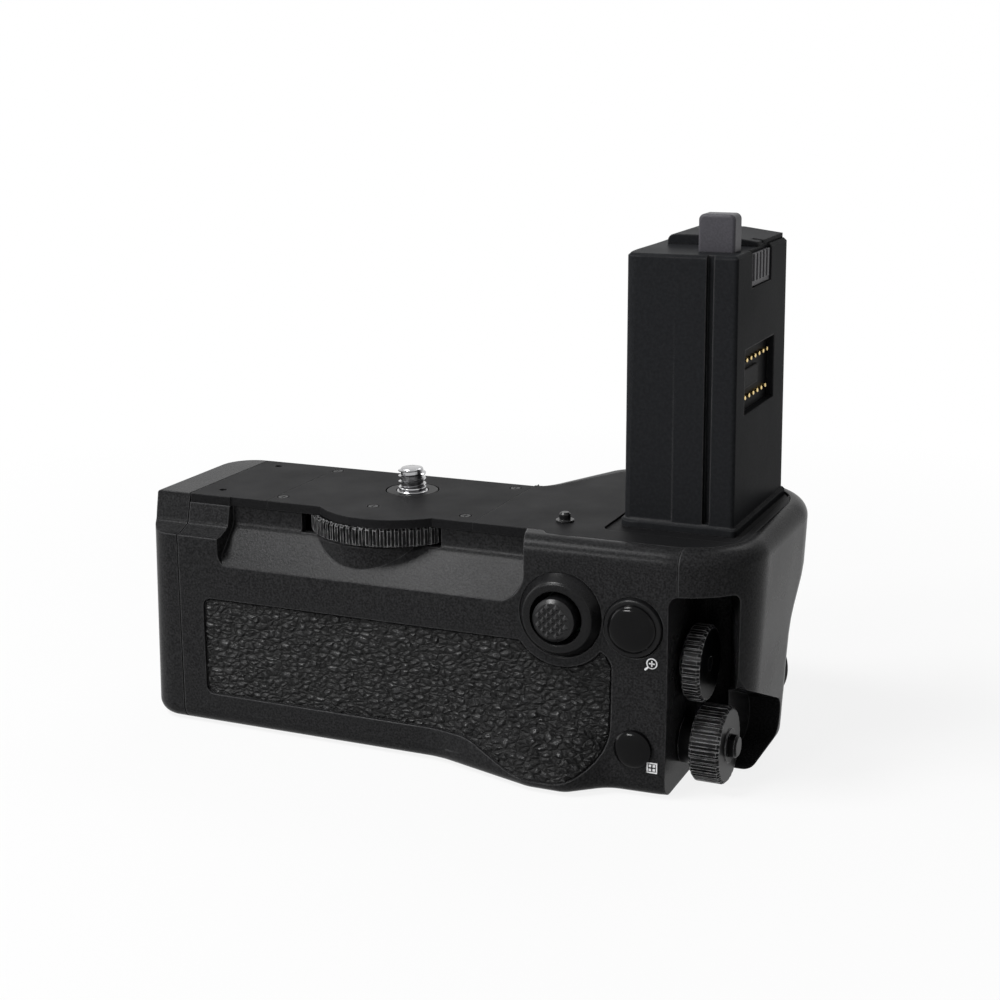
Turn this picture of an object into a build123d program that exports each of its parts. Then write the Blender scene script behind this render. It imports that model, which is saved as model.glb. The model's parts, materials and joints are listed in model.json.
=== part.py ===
from build123d import *
import math
import os

# Camera battery grip: a housing that screws under a camera, with a tower that fills
# the camera's battery well. Millimetres. The origin is the axis of the fixing screw
# in the plane of the top plate. +X points to the tower end, +Y to the front, +Z up.

# Batteries, which set the height of the housing
battery_length = 51.7
battery_width = 22.7
battery_height = 38.7
battery_top = 7.8
bay_under = 5.5

# Housing outline
body_height = battery_top + battery_height + bay_under
left_reach = 54.2
left_draft = 1.1
right_reach = 85.6
right_draft = 2.6
rear_reach = 26.9
rear_draft = 1.1
front_reach = 13.6
handle_reach = 26.4
handle_inner_x = 36.0
handle_outer_x = 24.0
corner_rear_left = 7.0
corner_rear_right = 17.0
corner_front_left = 8.0
corner_handle = 22.0
corner_low_front = 10.0
corner_flank = 9.0
top_round = 3.5
bottom_round = 3.5
crisp_round = 0.8
heel_reach = 7.6
heel_start_x = 18.0
heel_crest_x0 = 41.5
heel_crest_x1 = 50.5
heel_end_x = 58.0
heel_round_in = 20.0
heel_round_out = 8.0
heel_tail_share = 0.15
wall = 1.8
floor_thick = 2.8
plate_thick = 2.0
seam_gap = 0.12
loose_gap = 0.3
door_gap = 0.2
overrun = 2.0
side_reach = 160.0

# Share of the height down from the top, and share of the handle's reach kept there
handle_shares = (
    (0.0, 0.98),
    (0.115, 1.0),
    (0.27, 1.0),
    (0.32, 0.90),
    (0.37, 0.70),
    (0.42, 0.50),
    (0.47, 0.35),
    (0.53, 0.27),
)
# The same for the lower half, with the share of the heel's reach
heel_shares = (
    (0.53, 0.27, 0.01),
    (0.59, 0.26, 0.04),
    (0.65, 0.25, 0.11),
    (0.71, 0.25, 0.25),
    (0.77, 0.25, 0.46),
    (0.83, 0.24, 0.70),
    (0.89, 0.24, 0.88),
    (0.95, 0.23, 0.98),
    (1.0, 0.22, 1.0),
)

# Seams and split planes
door_seam_x = -45.4
end_seam_x = 71.4
plate_seam_left = -25.6
plate_seam_right = 24.3
split_y = -2.0

# Ledge along the rear of the top, and the step at its left
ledge_left = -35.0
ledge_right = 40.6
ledge_back = 19.8
ledge_knee = 6.2
ledge_lip = 14.5
ledge_round = 3.0
ledge_sweep = 7.0
ledge_slant = 4.0
ear_top_y = 20.9
ear_low_y = 22.4
ear_step_z = 6.6
ear_lip_z = 8.0
ear_top_inset = 0.9
ear_round = 1.5
ear_lip_round = 1.2
plate_rear = 20.6
plate_inset = 4.2

# Attachment dial, its gear and the fixing screw
dial_offset = 7.4
dial_r = 19.2
dial_top = 2.1
dial_thick = 4.1
dial_bore_r = 14.0
dial_ribs = 76
rib_depth = 0.7
groove_share = 0.45
gear_module = 0.74
dial_teeth = 32
pinion_teeth = 12
gear_thick = 2.0
gear_backlash = 0.16
pressure_angle = 20.0
flank_steps = 4
dial_gear_root = 12.6
dial_gear_tip = 11.45
pinion_tip = 5.0
pinion_root = 3.7
hub_clear = 0.05
screw_r = 3.175
screw_journal_r = 3.45
screw_high = 5.2
screw_washer_r = 5.8
screw_washer_thick = 0.5
dial_slot_x0 = -17.4
dial_slot_x1 = 16.6
shroud_r = 18.9
shroud_x = 1.4
boss_r = 17.6
boss_x = -1.4
base_thick = 0.9
hub_post_offset = 5.5
hub_post_r = 4.5
run_gap = 0.3

# Battery bay
battery_y = -7.0
tray_wall = 1.0
tray_floor = 0.6
tray_gap = 0.15
tray_lip = 14.0
contact_thick = 1.7
battery_round = 2.0
rail_under = 4.0
rail_high = 2.5
battery_slot_share = 0.225
battery_slot_high = 2.0
contact_reach = 1.2

# Door latch: thumb slider in its dish, bolt with its hook, and the bar it catches
slider_z = -22.0
dish_r = 8.0
dish_sink = 1.4
slider_thick = 1.1
slider_half_y = 4.0
slider_half_z = 5.8
slider_corner = 1.5
slider_ribs = 4
slider_rib_high = 1.3
slider_rib_wide = 1.2
neck_half = 2.0
neck_clear = 0.15
bolt_travel = 1.4
bolt_thick = 1.4
hook_y = -7.0
hook_wide = 8.0
hook_foot = 5.0
hook_arm_top = 5.9
hook_tooth = 1.5
strike_gap = 0.4
strike_thick = 1.6
strike_low = 4.3
guide_z0 = -28.0
guide_z1 = -12.0
rib_z0 = -31.5
rib_z1 = -44.0

# Plates, screws and small top details
bottom_plate_x = 38.0
bottom_plate_y = 20.0
bottom_plate_thick = 1.2
screw_head_r = 1.1
screw_head_high = 0.6
plate_hole_r = 0.9
plate_hole_x = 40.1
plate_hole_y0 = -15.6
plate_hole_y1 = 8.9
socket_flange_r = 5.5
socket_barrel_r = 4.5
socket_length = 4.6
tower_neck_x0 = 68.0
tower_neck_x1 = 75.0
tower_neck_y0 = -4.0
tower_neck_y1 = 20.5
pin_x = 42.0
pin_y = -12.6
pin_r = 1.2
pin_high = 2.0

# Tower
tower_x0 = 53.7
tower_x1 = 77.6
tower_y0 = -10.1
tower_y1 = 28.2
tower_height = 56.2
tower_taper = 0.25
tower_wall = 1.6
tower_corner = 2.4
tower_edge = 0.6
tower_foot = 1.2
tower_foot_out = 0.7
groove_x0 = 71.0
groove_x1 = 72.5
groove_deep = 1.3
groove_foot = 1.5
step_x = 64.5
step_deep = 0.2
window_y0 = -3.5
window_y1 = 18.5
window_z0 = 23.3
window_z1 = 36.7
window_deep = 3.0
contact_count = 7
contact_r = 0.45
contact_row_high = 33.9
contact_row_low = 26.2
contact_first = -1.9
contact_pitch = 3.05
tab_x0 = 67.5
tab_x1 = 75.1
tab_y0 = -4.6
tab_deep = 5.0
tab_high = 7.6
latch_y0 = 0.6
latch_y1 = 15.0
latch_low = 7.5
latch_high = 0.8
surround = 2.4
surround_deep = 0.5
latch_deep = 1.2
latch_ribs = 5
tab_round = 1.2
cap_y0 = 8.0
cap_x0 = 57.0
cap_bend_x = 68.0
cap_high = 2.1
cap_low = 1.0
cap_notch = 2.2
pad_long = 13.0
pad_high = 4.0

# Rear controls
stick_x = 46.7
stick_z = -15.6
stick_collar_r = 9.0
stick_collar_high = 2.6
stick_hole_r = 5.7
stick_cap_r = 4.5
stick_cap_high = 4.6
stick_pivot_deep = 3.2
stick_stem_r = 1.5
collar_seat = 0.3
collar_top_share = 0.82
carrier_r = 6.2
carrier_bore_r = 5.0
gimbal_r = 4.5
gimbal_bore_r = 3.3
gimbal_thick = 1.6
pivot_r = 0.5
stick_hub_r = 2.6
focus_x = 62.4
focus_z = -16.4
focus_r = 4.3
focus_high = 1.3
focus_collar_r = 6.3
hold_x = 63.0
hold_up = 10.2
hold_z = hold_up - body_height
hold_r = 3.2
hold_high = 1.3
button_clear = 0.3
button_travel = 0.4

# Dial recess and the two rear dials
recess_x = 69.7
recess_top = 9.2
recess_deep_y = -6.0
recess_back_x = 76.5
recess_lip_x = 82.4
recess_lip_y = -20.0
recess_round = 2.5
recess_top_round = 2.0
notch_x = 76.5
notch_up = 21.5
notch_rise = 5.0
notch_in = 3.5
notch_drop = 11.0
notch_far_y = 9.6
notch_floor = 2.0
notch_floor_y = -7.0
notch_round = 4.5
notch_lip_round = 1.5
rear_dial_y = -16.0
upper_dial_x = 73.2
upper_dial_z = -26.0
upper_dial_r = 8.0
upper_dial_thick = 4.0
lower_dial_x = 76.4
lower_dial_up = 8.8
lower_dial_z = lower_dial_up - body_height
lower_dial_r = 8.1
lower_dial_thick = 6.4
rear_dial_ribs = 30
shaft_r = 1.5
lock_r = 2.4
lock_high = 2.0
lock_travel = 0.8
hub_cone = 1.0
encoder_x0 = 65.4
encoder_size = 9.0

# Front controls, on the low front corner
shutter_x = 69.5
shutter_y = 16.0
shutter_up = 12.5
shutter_z = shutter_up - body_height
shutter_turn = 20.0
shutter_pad_r = 10.0
shutter_pad_reach = 7.6
lever_r = 9.2
lever_bore_r = 5.6
lever_high = 2.6
shutter_r = 4.6
shutter_high = 3.4
shutter_travel = 0.5
front_dial_x = 50.0
front_dial_up = 12.0
front_dial_z = front_dial_up - body_height
front_dial_r = 8.0
front_dial_thick = 4.4
front_dial_out = 2.6
front_dial_ribs = 30
custom_x = 58.5
custom_up = 21.0
custom_z = custom_up - body_height
custom_r = 2.6
custom_high = 0.8
custom_deep = 5.5
axle_extra = 1.6
post_r = 1.0
post_span = 5.5
shutter_board_wide = 9.0
shutter_board_tall = 14.4
shutter_post_reach = 6.1

# Boards
board_thick = 1.2
switch_r = 1.8
switch_high = 0.6
button_board_y = -21.8
board_x0 = 41.0
board_x1 = 65.0
board_up = 8.0
board_z0 = board_up - body_height
board_z1 = -9.0
main_board_drop = 3.4
main_board_x0 = 36.0
main_board_x1 = 74.0
main_board_y0 = -3.0
main_board_y1 = 26.0

# Textured skins
skin_thick = 0.8
skin_round = 2.0
rear_skin_left = -39.3
rear_skin_right = 58.0
rear_skin_top = 22.0
skin_foot_up = 7.5
skin_low_up = 2.2
rear_skin_foot = body_height - skin_foot_up
rear_skin_low = body_height - skin_low_up
front_skin_y = 25.0
front_skin_low = 26.0


def rounded_edges(points, radii):
    """Closed run of straight edges with a tangent arc of its own radius at each corner."""
    corners = [Vector(*point) for point in points]
    ends = []
    for index, (corner, radius) in enumerate(zip(corners, radii)):
        if radius == 0:
            ends.append((corner, corner, None))
            continue
        back = (corners[index - 1] - corner).normalized()
        ahead = (corners[(index + 1) % len(corners)] - corner).normalized()
        half_turn = math.radians(back.get_angle(ahead)) / 2
        reach = radius / math.tan(half_turn)
        middle = corner + (back + ahead).normalized() * (radius / math.sin(half_turn) - radius)
        ends.append((corner + back * reach, corner + ahead * reach, middle))
    edges = []
    for index, (start, end, middle) in enumerate(ends):
        if middle is not None:
            edges.append(ThreePointArc(start, middle, end))
        following = ends[(index + 1) % len(ends)][0]
        if (following - end).length > seam_gap * seam_gap:
            edges.append(Line(end, following))
    return edges


def outline_face(points, radii):
    """Flat face of a rounded polygon; one radius serves all corners."""
    if isinstance(radii, (int, float)):
        radii = [radii] * len(points)
    return make_face(rounded_edges(points, radii))


def prism_x(points, radii, x0, x1):
    """Outline of (y, z) points pushed from x0 to x1."""
    face = Plane.YZ.offset(x0) * outline_face(points, radii)
    return extrude(face, amount=x1 - x0, dir=(1, 0, 0))


def prism_y(points, radii, y0, y1):
    """Outline of (x, z) points pushed from y0 to y1."""
    face = Plane.XZ.offset(-y0) * outline_face(points, radii)
    return extrude(face, amount=y1 - y0, dir=(0, 1, 0))


def prism_z(points, radii, z0, z1):
    """Outline of (x, y) points pushed from z0 to z1."""
    face = Plane.XY.offset(z0) * outline_face(points, radii)
    return extrude(face, amount=z1 - z0, dir=(0, 0, 1))


def block(x0, x1, y0, y1, z0, z1):
    """Box between two corners."""
    centre = Pos((x0 + x1) / 2, (y0 + y1) / 2, (z0 + z1) / 2)
    return centre * Box(x1 - x0, y1 - y0, z1 - z0)


def drum_x(y, z, radius, x0, x1):
    """Cylinder along X."""
    return Pos((x0 + x1) / 2, y, z) * Rot(0, 90, 0) * Cylinder(radius, x1 - x0)


def drum_y(x, z, radius, y0, y1):
    """Cylinder along Y."""
    return Pos(x, (y0 + y1) / 2, z) * Rot(90, 0, 0) * Cylinder(radius, y1 - y0)


def drum_z(x, y, radius, z0, z1):
    """Cylinder along Z."""
    return Pos(x, y, (z0 + z1) / 2) * Cylinder(radius, z1 - z0)


def body_section(share, handle_share, heel_share, inset, with_heel):
    """Plan outline of the housing at a share of its height down from the top."""
    left = -left_reach - left_draft * share + inset
    right = right_reach - right_draft * share - inset
    rear = -rear_reach - rear_draft * share + inset
    front = front_reach - inset
    handle = front_reach + handle_reach * handle_share - inset
    spread = (handle_share - handle_shares[-1][1]) / (1 - handle_shares[-1][1])
    handle_round = corner_low_front + (corner_handle - corner_low_front) * max(spread, 0)
    points = [
        (right, rear),
        (right, handle),
        (handle_inner_x + inset, handle),
        (handle_outer_x + inset, front),
        (left, front),
        (left, rear),
    ]
    radii = [
        corner_rear_right - inset,
        handle_round - inset,
        corner_flank - inset,
        corner_flank,
        corner_front_left - inset,
        corner_rear_left - inset,
    ]
    if with_heel:
        bulge = heel_reach * heel_share
        points = [
            (heel_start_x, rear),
            (heel_crest_x0, rear - bulge),
            (heel_crest_x1, rear - bulge),
            (heel_end_x, rear - bulge * heel_tail_share),
        ] + points
        radii = [heel_round_in, heel_round_out, heel_round_out - overrun, heel_round_out - overrun] + radii
    face = outline_face(points, radii)
    return Plane.XY.offset(-body_height * share) * face


def upper_body(inset):
    """Upper half of the housing's outer form."""
    sections = [body_section(share, reach, 0, inset, False) for share, reach in handle_shares]
    return loft(sections, ruled=True)


def lower_body(inset):
    """Lower half, where the heel for the palm swells out of the rear face."""
    sections = [body_section(share, reach, heel, inset, True) for share, reach, heel in heel_shares]
    return loft(sections, ruled=True)


def top_edges(shape):
    return shape.faces().sort_by(Axis.Z)[-1].edges()


def bottom_edges(shape):
    return shape.faces().sort_by(Axis.Z)[0].edges()


def full_body():
    """Outer form with its rounded rims: crisp on the thin part, soft on the handle."""
    upper = upper_body(0)
    soft = fillet(top_edges(upper), top_round)
    crisp = fillet(top_edges(upper), crisp_round)
    far = body_height + right_reach
    thin_side = block(-far, plate_seam_right, -far, far, -far, far)
    crisp = crisp & thin_side
    soft = soft - thin_side
    lower = fillet(bottom_edges(lower_body(0)), bottom_round)
    return crisp + soft + lower


def cavity():
    """Inside of the housing, one wall in from its outer form."""
    far = body_height + right_reach
    inner = upper_body(wall) + lower_body(wall)
    return inner & block(-far, far, -far, far, -body_height + floor_thick, -plate_thick)


def ledge_cutter(grow):
    """Space above the thumb ledge; grow widens it by a wall for the inside."""
    back = -ledge_back + grow
    knee = -ledge_knee - grow / 2
    lip = -ledge_lip - grow * math.sqrt(2)
    out = rear_reach + heel_reach
    drop = (out - ledge_back) * (lip - knee) / (rear_reach + rear_draft / 2 - ledge_back)
    profile = [
        (back, overrun),
        (back, knee),
        (-out, knee + drop),
        (-out, overrun),
    ]
    shape = prism_x(profile, [0, ledge_round, 0, 0], ledge_left - grow, ledge_right + grow)
    low = lip - grow
    high = overrun * 3
    radii = [0, ledge_round, ledge_sweep, 0]
    near = []
    for right in (ledge_right + grow, ledge_right + grow - ledge_slant):
        near.append([(ledge_left - grow, high), (ledge_left - grow, low), (right, low), (right, high)])
    outer = Plane.XZ.offset(out) * outline_face(near[0], radii)
    inner = Plane.XZ.offset(-back) * outline_face(near[1], radii)
    return shape & loft([inner, outer], ruled=True)


def ear_cutter(grow):
    """Space above the step at the left end of the rear."""
    far = rear_reach + heel_reach + overrun
    step = -ear_step_z - grow
    lip = -ear_lip_z - grow
    profile = [
        (-ear_top_y + grow, overrun),
        (-ear_top_y + grow, -ear_top_inset),
        (-ear_low_y + grow, step),
        (-rear_reach + ear_lip_round, lip),
        (-far, lip - ear_lip_round),
        (-far, overrun),
    ]
    radii = [0, 0, ear_round, 0, 0, 0]
    return prism_x(profile, radii, -left_reach - left_draft - overrun, ledge_left - grow + seam_gap)


def recess_cutter(grow):
    """Room for the two rear dials, open to the rear, the end and the bottom."""
    far = right_reach + overrun
    deep = -rear_reach - heel_reach - overrun
    upper_plan = [
        (recess_x - grow, deep),
        (recess_x - grow, recess_deep_y + grow),
        (recess_back_x + grow, recess_deep_y + grow),
        (recess_lip_x + grow, recess_lip_y + grow),
        (far + grow, recess_lip_y - overrun),
        (far + grow, deep),
    ]
    radii = [0, recess_round, recess_round, recess_round, 0, 0]
    upper = prism_z(upper_plan, radii, -body_height - overrun, -recess_top + grow)
    upper = fillet(top_edges(upper), recess_top_round)
    low = -body_height + notch_floor - grow
    high = -body_height + notch_up + grow
    notch = [
        (deep, high + notch_rise),
        (recess_lip_y + grow, high + notch_rise),
        (recess_lip_y + notch_in + grow, high),
        (notch_far_y + grow, high - notch_drop),
        (notch_far_y + grow, low),
        (notch_floor_y, low),
        (notch_floor_y, -body_height - overrun),
        (deep, -body_height - overrun),
    ]
    radii = [0, 0, notch_round, notch_round, notch_round, notch_lip_round, 0, 0]
    lower_r = lower_dial_r + run_gap * 2 + grow
    lower_x = lower_dial_x + lower_dial_thick / 2 + run_gap * 2
    around = drum_x(rear_dial_y, lower_dial_z, lower_r, recess_x - grow, lower_x + grow)
    return upper + prism_x(notch, radii, notch_x - grow, far + grow) + around


def dial_room():
    """Slot and pocket in the housing for the attachment dial."""
    top = -plate_thick + overrun
    low = -dial_top - dial_thick - run_gap
    drum = drum_z(0, -dial_offset, dial_r + run_gap * 2, low, -dial_top + run_gap)
    pocket = block(-dial_r * 2, dial_r * 2, -ledge_back + wall, dial_r * 2, low, top)
    slot = block(dial_slot_x0, dial_slot_x1, -dial_offset - dial_r * 2, 0, low, top)
    mouth = block(
        dial_slot_x0, dial_slot_x1, -ledge_back - wall, -ledge_back + wall, low, -dial_top + run_gap
    )
    return (drum & (pocket + slot)) + mouth


def dial_boss():
    """Drum under the attachment dial, standing out of the ledge's slope."""
    low = -dial_top - dial_thick - run_gap
    drum = drum_z(boss_x, -dial_offset, boss_r, -ledge_lip, low)
    drum = chamfer(drum.edges().sort_by(Axis.Z)[-1], seam_gap * 4)
    back = -ledge_back + wall
    return drum & block(boss_x - boss_r, boss_x + boss_r, -dial_offset - boss_r, back, -ledge_lip, low)


def shutter_frame():
    """Plane at the low front corner, facing out along the shutter button."""
    turn = math.radians(shutter_turn)
    facing = (math.sin(turn), math.cos(turn), 0)
    return Plane(
        origin=(shutter_x, shutter_y, shutter_z),
        x_dir=(math.cos(turn), -math.sin(turn), 0),
        z_dir=facing,
    )


def shutter_drum(radius, start, end):
    """Cylinder along the shutter button's axis."""
    return shutter_frame() * (Pos(0, 0, (start + end) / 2) * Cylinder(radius, end - start))


def front_y():
    """Front face of the low front part at the bottom of its sweep."""
    return front_reach + handle_reach * heel_shares[2][1]


def front_dial_y():
    return front_y() + front_dial_out - front_dial_r


def top_plate_right_points(inset):
    """Plan outline of the right top plate."""
    rim = plate_inset + inset
    return [
        (plate_seam_right + inset, -plate_rear + inset),
        (ledge_right + inset, -plate_rear + inset),
        (ledge_right + ear_round + inset, -rear_reach + rim),
        (right_reach - rim, -rear_reach + rim),
        (right_reach - rim, front_reach + handle_reach - rim),
        (handle_inner_x + rim, front_reach + handle_reach - rim),
        (handle_outer_x + rim, front_reach - inset),
        (plate_seam_right + inset, front_reach - inset),
    ]


def top_plate_right_radii():
    return [
        0,
        ear_round,
        ear_round,
        corner_rear_right - plate_inset,
        corner_handle - plate_inset,
        corner_flank,
        corner_flank - plate_inset,
        0,
    ]


def plate_room():
    """Space that the three top plates take out of the housing."""
    rear = -ear_top_y - overrun
    left = block(
        door_seam_x - overrun, plate_seam_right, rear, front_reach + overrun, -plate_thick, overrun
    )
    right = prism_z(top_plate_right_points(-seam_gap), top_plate_right_radii(), -plate_thick, overrun)
    return left + right


def housing_shell():
    """Whole hollow housing before it is parted into its covers."""
    outer = full_body() - ledge_cutter(0) - ear_cutter(0)
    outer = outer + dial_boss()
    outer = outer + shutter_drum(shutter_pad_r, 0, shutter_pad_reach)
    outer = outer - recess_cutter(0)
    inner = cavity() - ledge_cutter(wall) - ear_cutter(wall) - recess_cutter(wall)
    return outer - inner


def far_block(x0, x1, y0, y1):
    """Block over the full height, to pick out one part of the housing."""
    return block(x0, x1, y0, y1, -body_height - overrun, overrun)


def ribbed(shape, frame, radius, thick, count, depth):
    """Cut grip ribs across the rim of a wheel that is centred on a plane."""
    pitch = 2 * math.pi * radius / count
    groove = Box(depth * 2, pitch * groove_share, thick + overrun)
    cutters = [
        frame * (Rot(0, 0, turn * 360 / count) * Pos(radius, 0, 0) * groove) for turn in range(count)
    ]
    return shape - cutters


def gear_outline(teeth, tip_r, root_r, slack):
    """Involute outline of a gear; slack narrows each tooth along the pitch circle."""
    pitch_r = gear_module * teeth / 2
    base_r = pitch_r * math.cos(math.radians(pressure_angle))
    involute = math.tan(math.radians(pressure_angle)) - math.radians(pressure_angle)
    half_pitch = math.pi / (2 * teeth) - slack / (2 * pitch_r) + involute
    low_r = max(base_r, root_r)
    points = []
    for tooth in range(teeth):
        centre = 2 * math.pi * tooth / teeth
        flank = []
        for step in range(flank_steps + 1):
            radius = low_r + (tip_r - low_r) * step / flank_steps
            roll = math.sqrt(max((radius / base_r) ** 2 - 1, 0))
            flank.append((radius, half_pitch - (roll - math.atan(roll))))
        if root_r < low_r:
            flank.insert(0, (root_r, flank[0][1]))
        points += [(r * math.cos(centre - a), r * math.sin(centre - a)) for r, a in flank]
        points += [(r * math.cos(centre + a), r * math.sin(centre + a)) for r, a in reversed(flank)]
    return make_face(Polyline(*points, close=True))


# Covers and plates

def covers(shell):
    """The three covers that the housing comes apart into."""
    body = shell + control_pads()
    body = body - plate_room() - dial_room() - socket_room() - bottom_plate_room()
    body = body - rear_control_room() - front_control_room() - skin_room()
    side = right_reach + overrun
    half = seam_gap / 2
    left = door_seam_x + half
    seam = end_seam_x - half
    rear = body & far_block(left, seam, -side, split_y - half)
    pad = shutter_drum(shutter_pad_r, 0, shutter_pad_reach * 2)
    front = body & (far_block(left, seam, split_y + half, side) + pad)
    end = body & far_block(end_seam_x + half, side, -side, side)
    end = end - shutter_drum(shutter_pad_r + seam_gap, -seam_gap, shutter_pad_reach * 2)
    rear = rear + board_posts_rear() + tray_rail(-1)
    front = front + board_posts_front() + tray_rail(1) + front_dial_ears()
    return rear, front, end


def socket_room():
    low = -body_height
    flange = drum_z(0, 0, socket_flange_r + loose_gap, low - overrun, low + bottom_plate_thick)
    return flange + drum_z(0, 0, socket_barrel_r + loose_gap, low - overrun, low + floor_thick + overrun)


def bottom_plate(inset, low):
    points = [
        (-bottom_plate_x, -bottom_plate_y),
        (bottom_plate_x, -bottom_plate_y),
        (bottom_plate_x, front_reach - bottom_round * 2),
        (-bottom_plate_x, front_reach - bottom_round * 2),
    ]
    points = [(x - inset * math.copysign(1, x), y - inset * math.copysign(1, y)) for x, y in points]
    return prism_z(points, bottom_round, low, -body_height + bottom_plate_thick)


def bottom_plate_room():
    return bottom_plate(-seam_gap, -body_height - overrun)


def make_bottom_plate():
    plate = bottom_plate(0, -body_height) - socket_room()
    for x, y in bottom_screw_places():
        plate = plate - drum_z(
            x, y, screw_head_r + loose_gap, -body_height - overrun, -body_height + overrun
        )
    return plate


def bottom_screw_places():
    x = bottom_plate_x - screw_head_r * 3
    low = -bottom_plate_y + screw_head_r * 2
    high = front_reach - bottom_round * 2 - screw_head_r * 2
    return [(side * x * share, y) for side in (-1, 1) for share in (1, 0.45) for y in (low, high)]


def small_screw(radius, high, shank):
    """Cross-head screw with its head's flat top at the origin, pointing down."""
    head = Pos(0, 0, -high / 2) * Cylinder(radius, high)
    body = Pos(0, 0, -high - shank / 2) * Cylinder(radius / 2, shank)
    slot = Box(radius * 1.3, radius * 0.28, high) + Box(radius * 0.28, radius * 1.3, high)
    return head + body - slot


def make_bottom_screws():
    screw = small_screw(screw_head_r, screw_head_high, bottom_plate_thick / 2)
    return [Pos(x, y, -body_height) * Rot(180, 0, 0) * screw for x, y in bottom_screw_places()]


def top_screw_places():
    """Screws seen in the top plates, in from their seams."""
    edge = screw_head_r * 1.1
    rear = -plate_rear + screw_head_r * 4
    front = front_reach - screw_head_r * 3.6
    return [
        (plate_seam_left + edge, front),
        (plate_seam_left + edge * 1.3, rear),
        (-screw_head_r * 1.3, rear),
        (plate_seam_right - edge * 3, rear),
        (plate_seam_right - edge * 2.6, front),
    ]


def make_top_screws():
    screw = small_screw(screw_head_r, screw_head_high, plate_thick / 2)
    return [Pos(x, y, 0) * screw for x, y in top_screw_places()]


def screw_seats(plate):
    for x, y in top_screw_places():
        plate = plate - drum_z(x, y, screw_head_r + loose_gap, -screw_head_high, overrun)
        plate = plate - drum_z(x, y, screw_head_r / 2 + loose_gap, -plate_thick - overrun, 0)
    return plate


def front_rim(plate):
    return plate.edges().filter_by(Axis.X).group_by(Axis.Z)[-1].sort_by(Axis.Y)[-1]


def make_top_plate_left():
    half = seam_gap / 2
    plate = block(door_seam_x + half, plate_seam_left - half, -ear_top_y, front_reach, -plate_thick, 0)
    plate = plate - block(ledge_left, 0, -side_reach, -plate_rear, -side_reach, side_reach)
    plate = fillet(front_rim(plate), crisp_round)
    for y in (plate_hole_y0, plate_hole_y1):
        plate = plate - drum_z(-plate_hole_x, y, plate_hole_r, -plate_thick / 2, overrun)
    return plate + strike_bar()


def strike_bar():
    """Bar under the plate that the door's hook catches behind."""
    x0 = door_seam_x + strike_gap
    y0 = hook_y - hook_wide / 2
    return block(x0, x0 + strike_thick, y0, y0 + hook_wide, -strike_low, -plate_thick)


def make_top_plate_center():
    half = seam_gap / 2
    plate = block(
        plate_seam_left + half, plate_seam_right - half, -plate_rear, front_reach, -plate_thick, 0
    )
    shroud = drum_z(shroud_x, -dial_offset, shroud_r, -plate_thick + seam_gap, 0)
    shroud = shroud & far_block(-side_reach, side_reach, -side_reach, -plate_rear + overrun)
    plate = fillet(front_rim(plate), crisp_round)
    plate = screw_seats(plate + shroud)
    return plate - drum_z(0, 0, screw_washer_r + loose_gap, -plate_thick - overrun, overrun)


def make_top_plate_right():
    plate = prism_z(top_plate_right_points(0), top_plate_right_radii(), -plate_thick, 0)
    well = block(
        tower_x0 - surround,
        tower_x1 + surround,
        tower_y0 - surround * 2.4,
        tower_y1 + surround,
        -surround_deep,
        overrun,
    )
    plate = plate - fillet(well.edges().filter_by(Axis.Z), tower_corner)
    neck = block(
        tower_neck_x0, tower_neck_x1, tower_neck_y0, tower_neck_y1, -plate_thick - overrun, overrun
    )
    plate = plate - neck
    return plate - drum_z(pin_x, pin_y, pin_r, -plate_thick - overrun, overrun)


def make_locating_pin():
    pin = drum_z(pin_x, pin_y, pin_r, -plate_thick, pin_high)
    pin = chamfer(pin.edges().sort_by(Axis.Z)[-1], pin_r / 3)
    return pin + drum_z(pin_x, pin_y, pin_r * 1.6, 0, pin_high / 5)


# Attachment dial and fixing screw

def make_attachment_dial():
    top = -dial_top
    low = top - dial_thick
    plane = Plane(origin=(0, -dial_offset, (top + low) / 2))
    ring = drum_z(0, -dial_offset, dial_r, low, top)
    rims = ring.edges().filter_by(GeomType.CIRCLE)
    ring = chamfer(rims, rib_depth * 0.6)
    ring = ribbed(ring, plane, dial_r, dial_thick, dial_ribs, rib_depth)
    ring = ring - drum_z(0, -dial_offset, dial_bore_r, low + gear_thick, top + overrun)
    teeth = gear_outline(dial_teeth, dial_gear_root, dial_gear_tip, -gear_backlash)
    return ring - extrude(Plane(origin=(0, -dial_offset, low - overrun)) * teeth, amount=dial_thick)


def make_fixing_screw():
    low = -dial_top - dial_thick
    gear_top = low + gear_thick - seam_gap
    thread = drum_z(0, 0, screw_r, 0, screw_high)
    thread = chamfer(thread.edges().sort_by(Axis.Z)[-1], screw_r / 6)
    journal = drum_z(0, 0, screw_journal_r, gear_top, 0)
    pinion = gear_outline(pinion_teeth, pinion_tip, pinion_root, gear_backlash)
    pinion = extrude(Plane.XY.offset(low) * pinion, amount=gear_top - low)
    foot = drum_z(0, 0, screw_r * 0.6, low - run_gap - base_thick, low)
    return thread + journal + pinion + foot


def make_screw_washer():
    washer = drum_z(0, 0, screw_washer_r, -screw_washer_thick, 0)
    washer = chamfer(washer.edges().group_by(Axis.Z)[-1], seam_gap)
    return washer - drum_z(0, 0, screw_journal_r + loose_gap, -screw_washer_thick - overrun, overrun)


def make_dial_hub():
    """Fixed disc that the dial turns on and the screw turns in."""
    low = -dial_top - dial_thick + gear_thick
    disc = drum_z(0, -dial_offset, dial_bore_r - hub_clear, low + seam_gap, -plate_thick)
    collar = drum_z(0, 0, screw_washer_r, -plate_thick, -screw_washer_thick)
    post_low = -dial_top - dial_thick - run_gap
    post = drum_z(0, -dial_offset - hub_post_offset, hub_post_r, post_low, low + seam_gap)
    return disc + collar + post - drum_z(0, 0, screw_journal_r + hub_clear, low - overrun, overrun)


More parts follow.
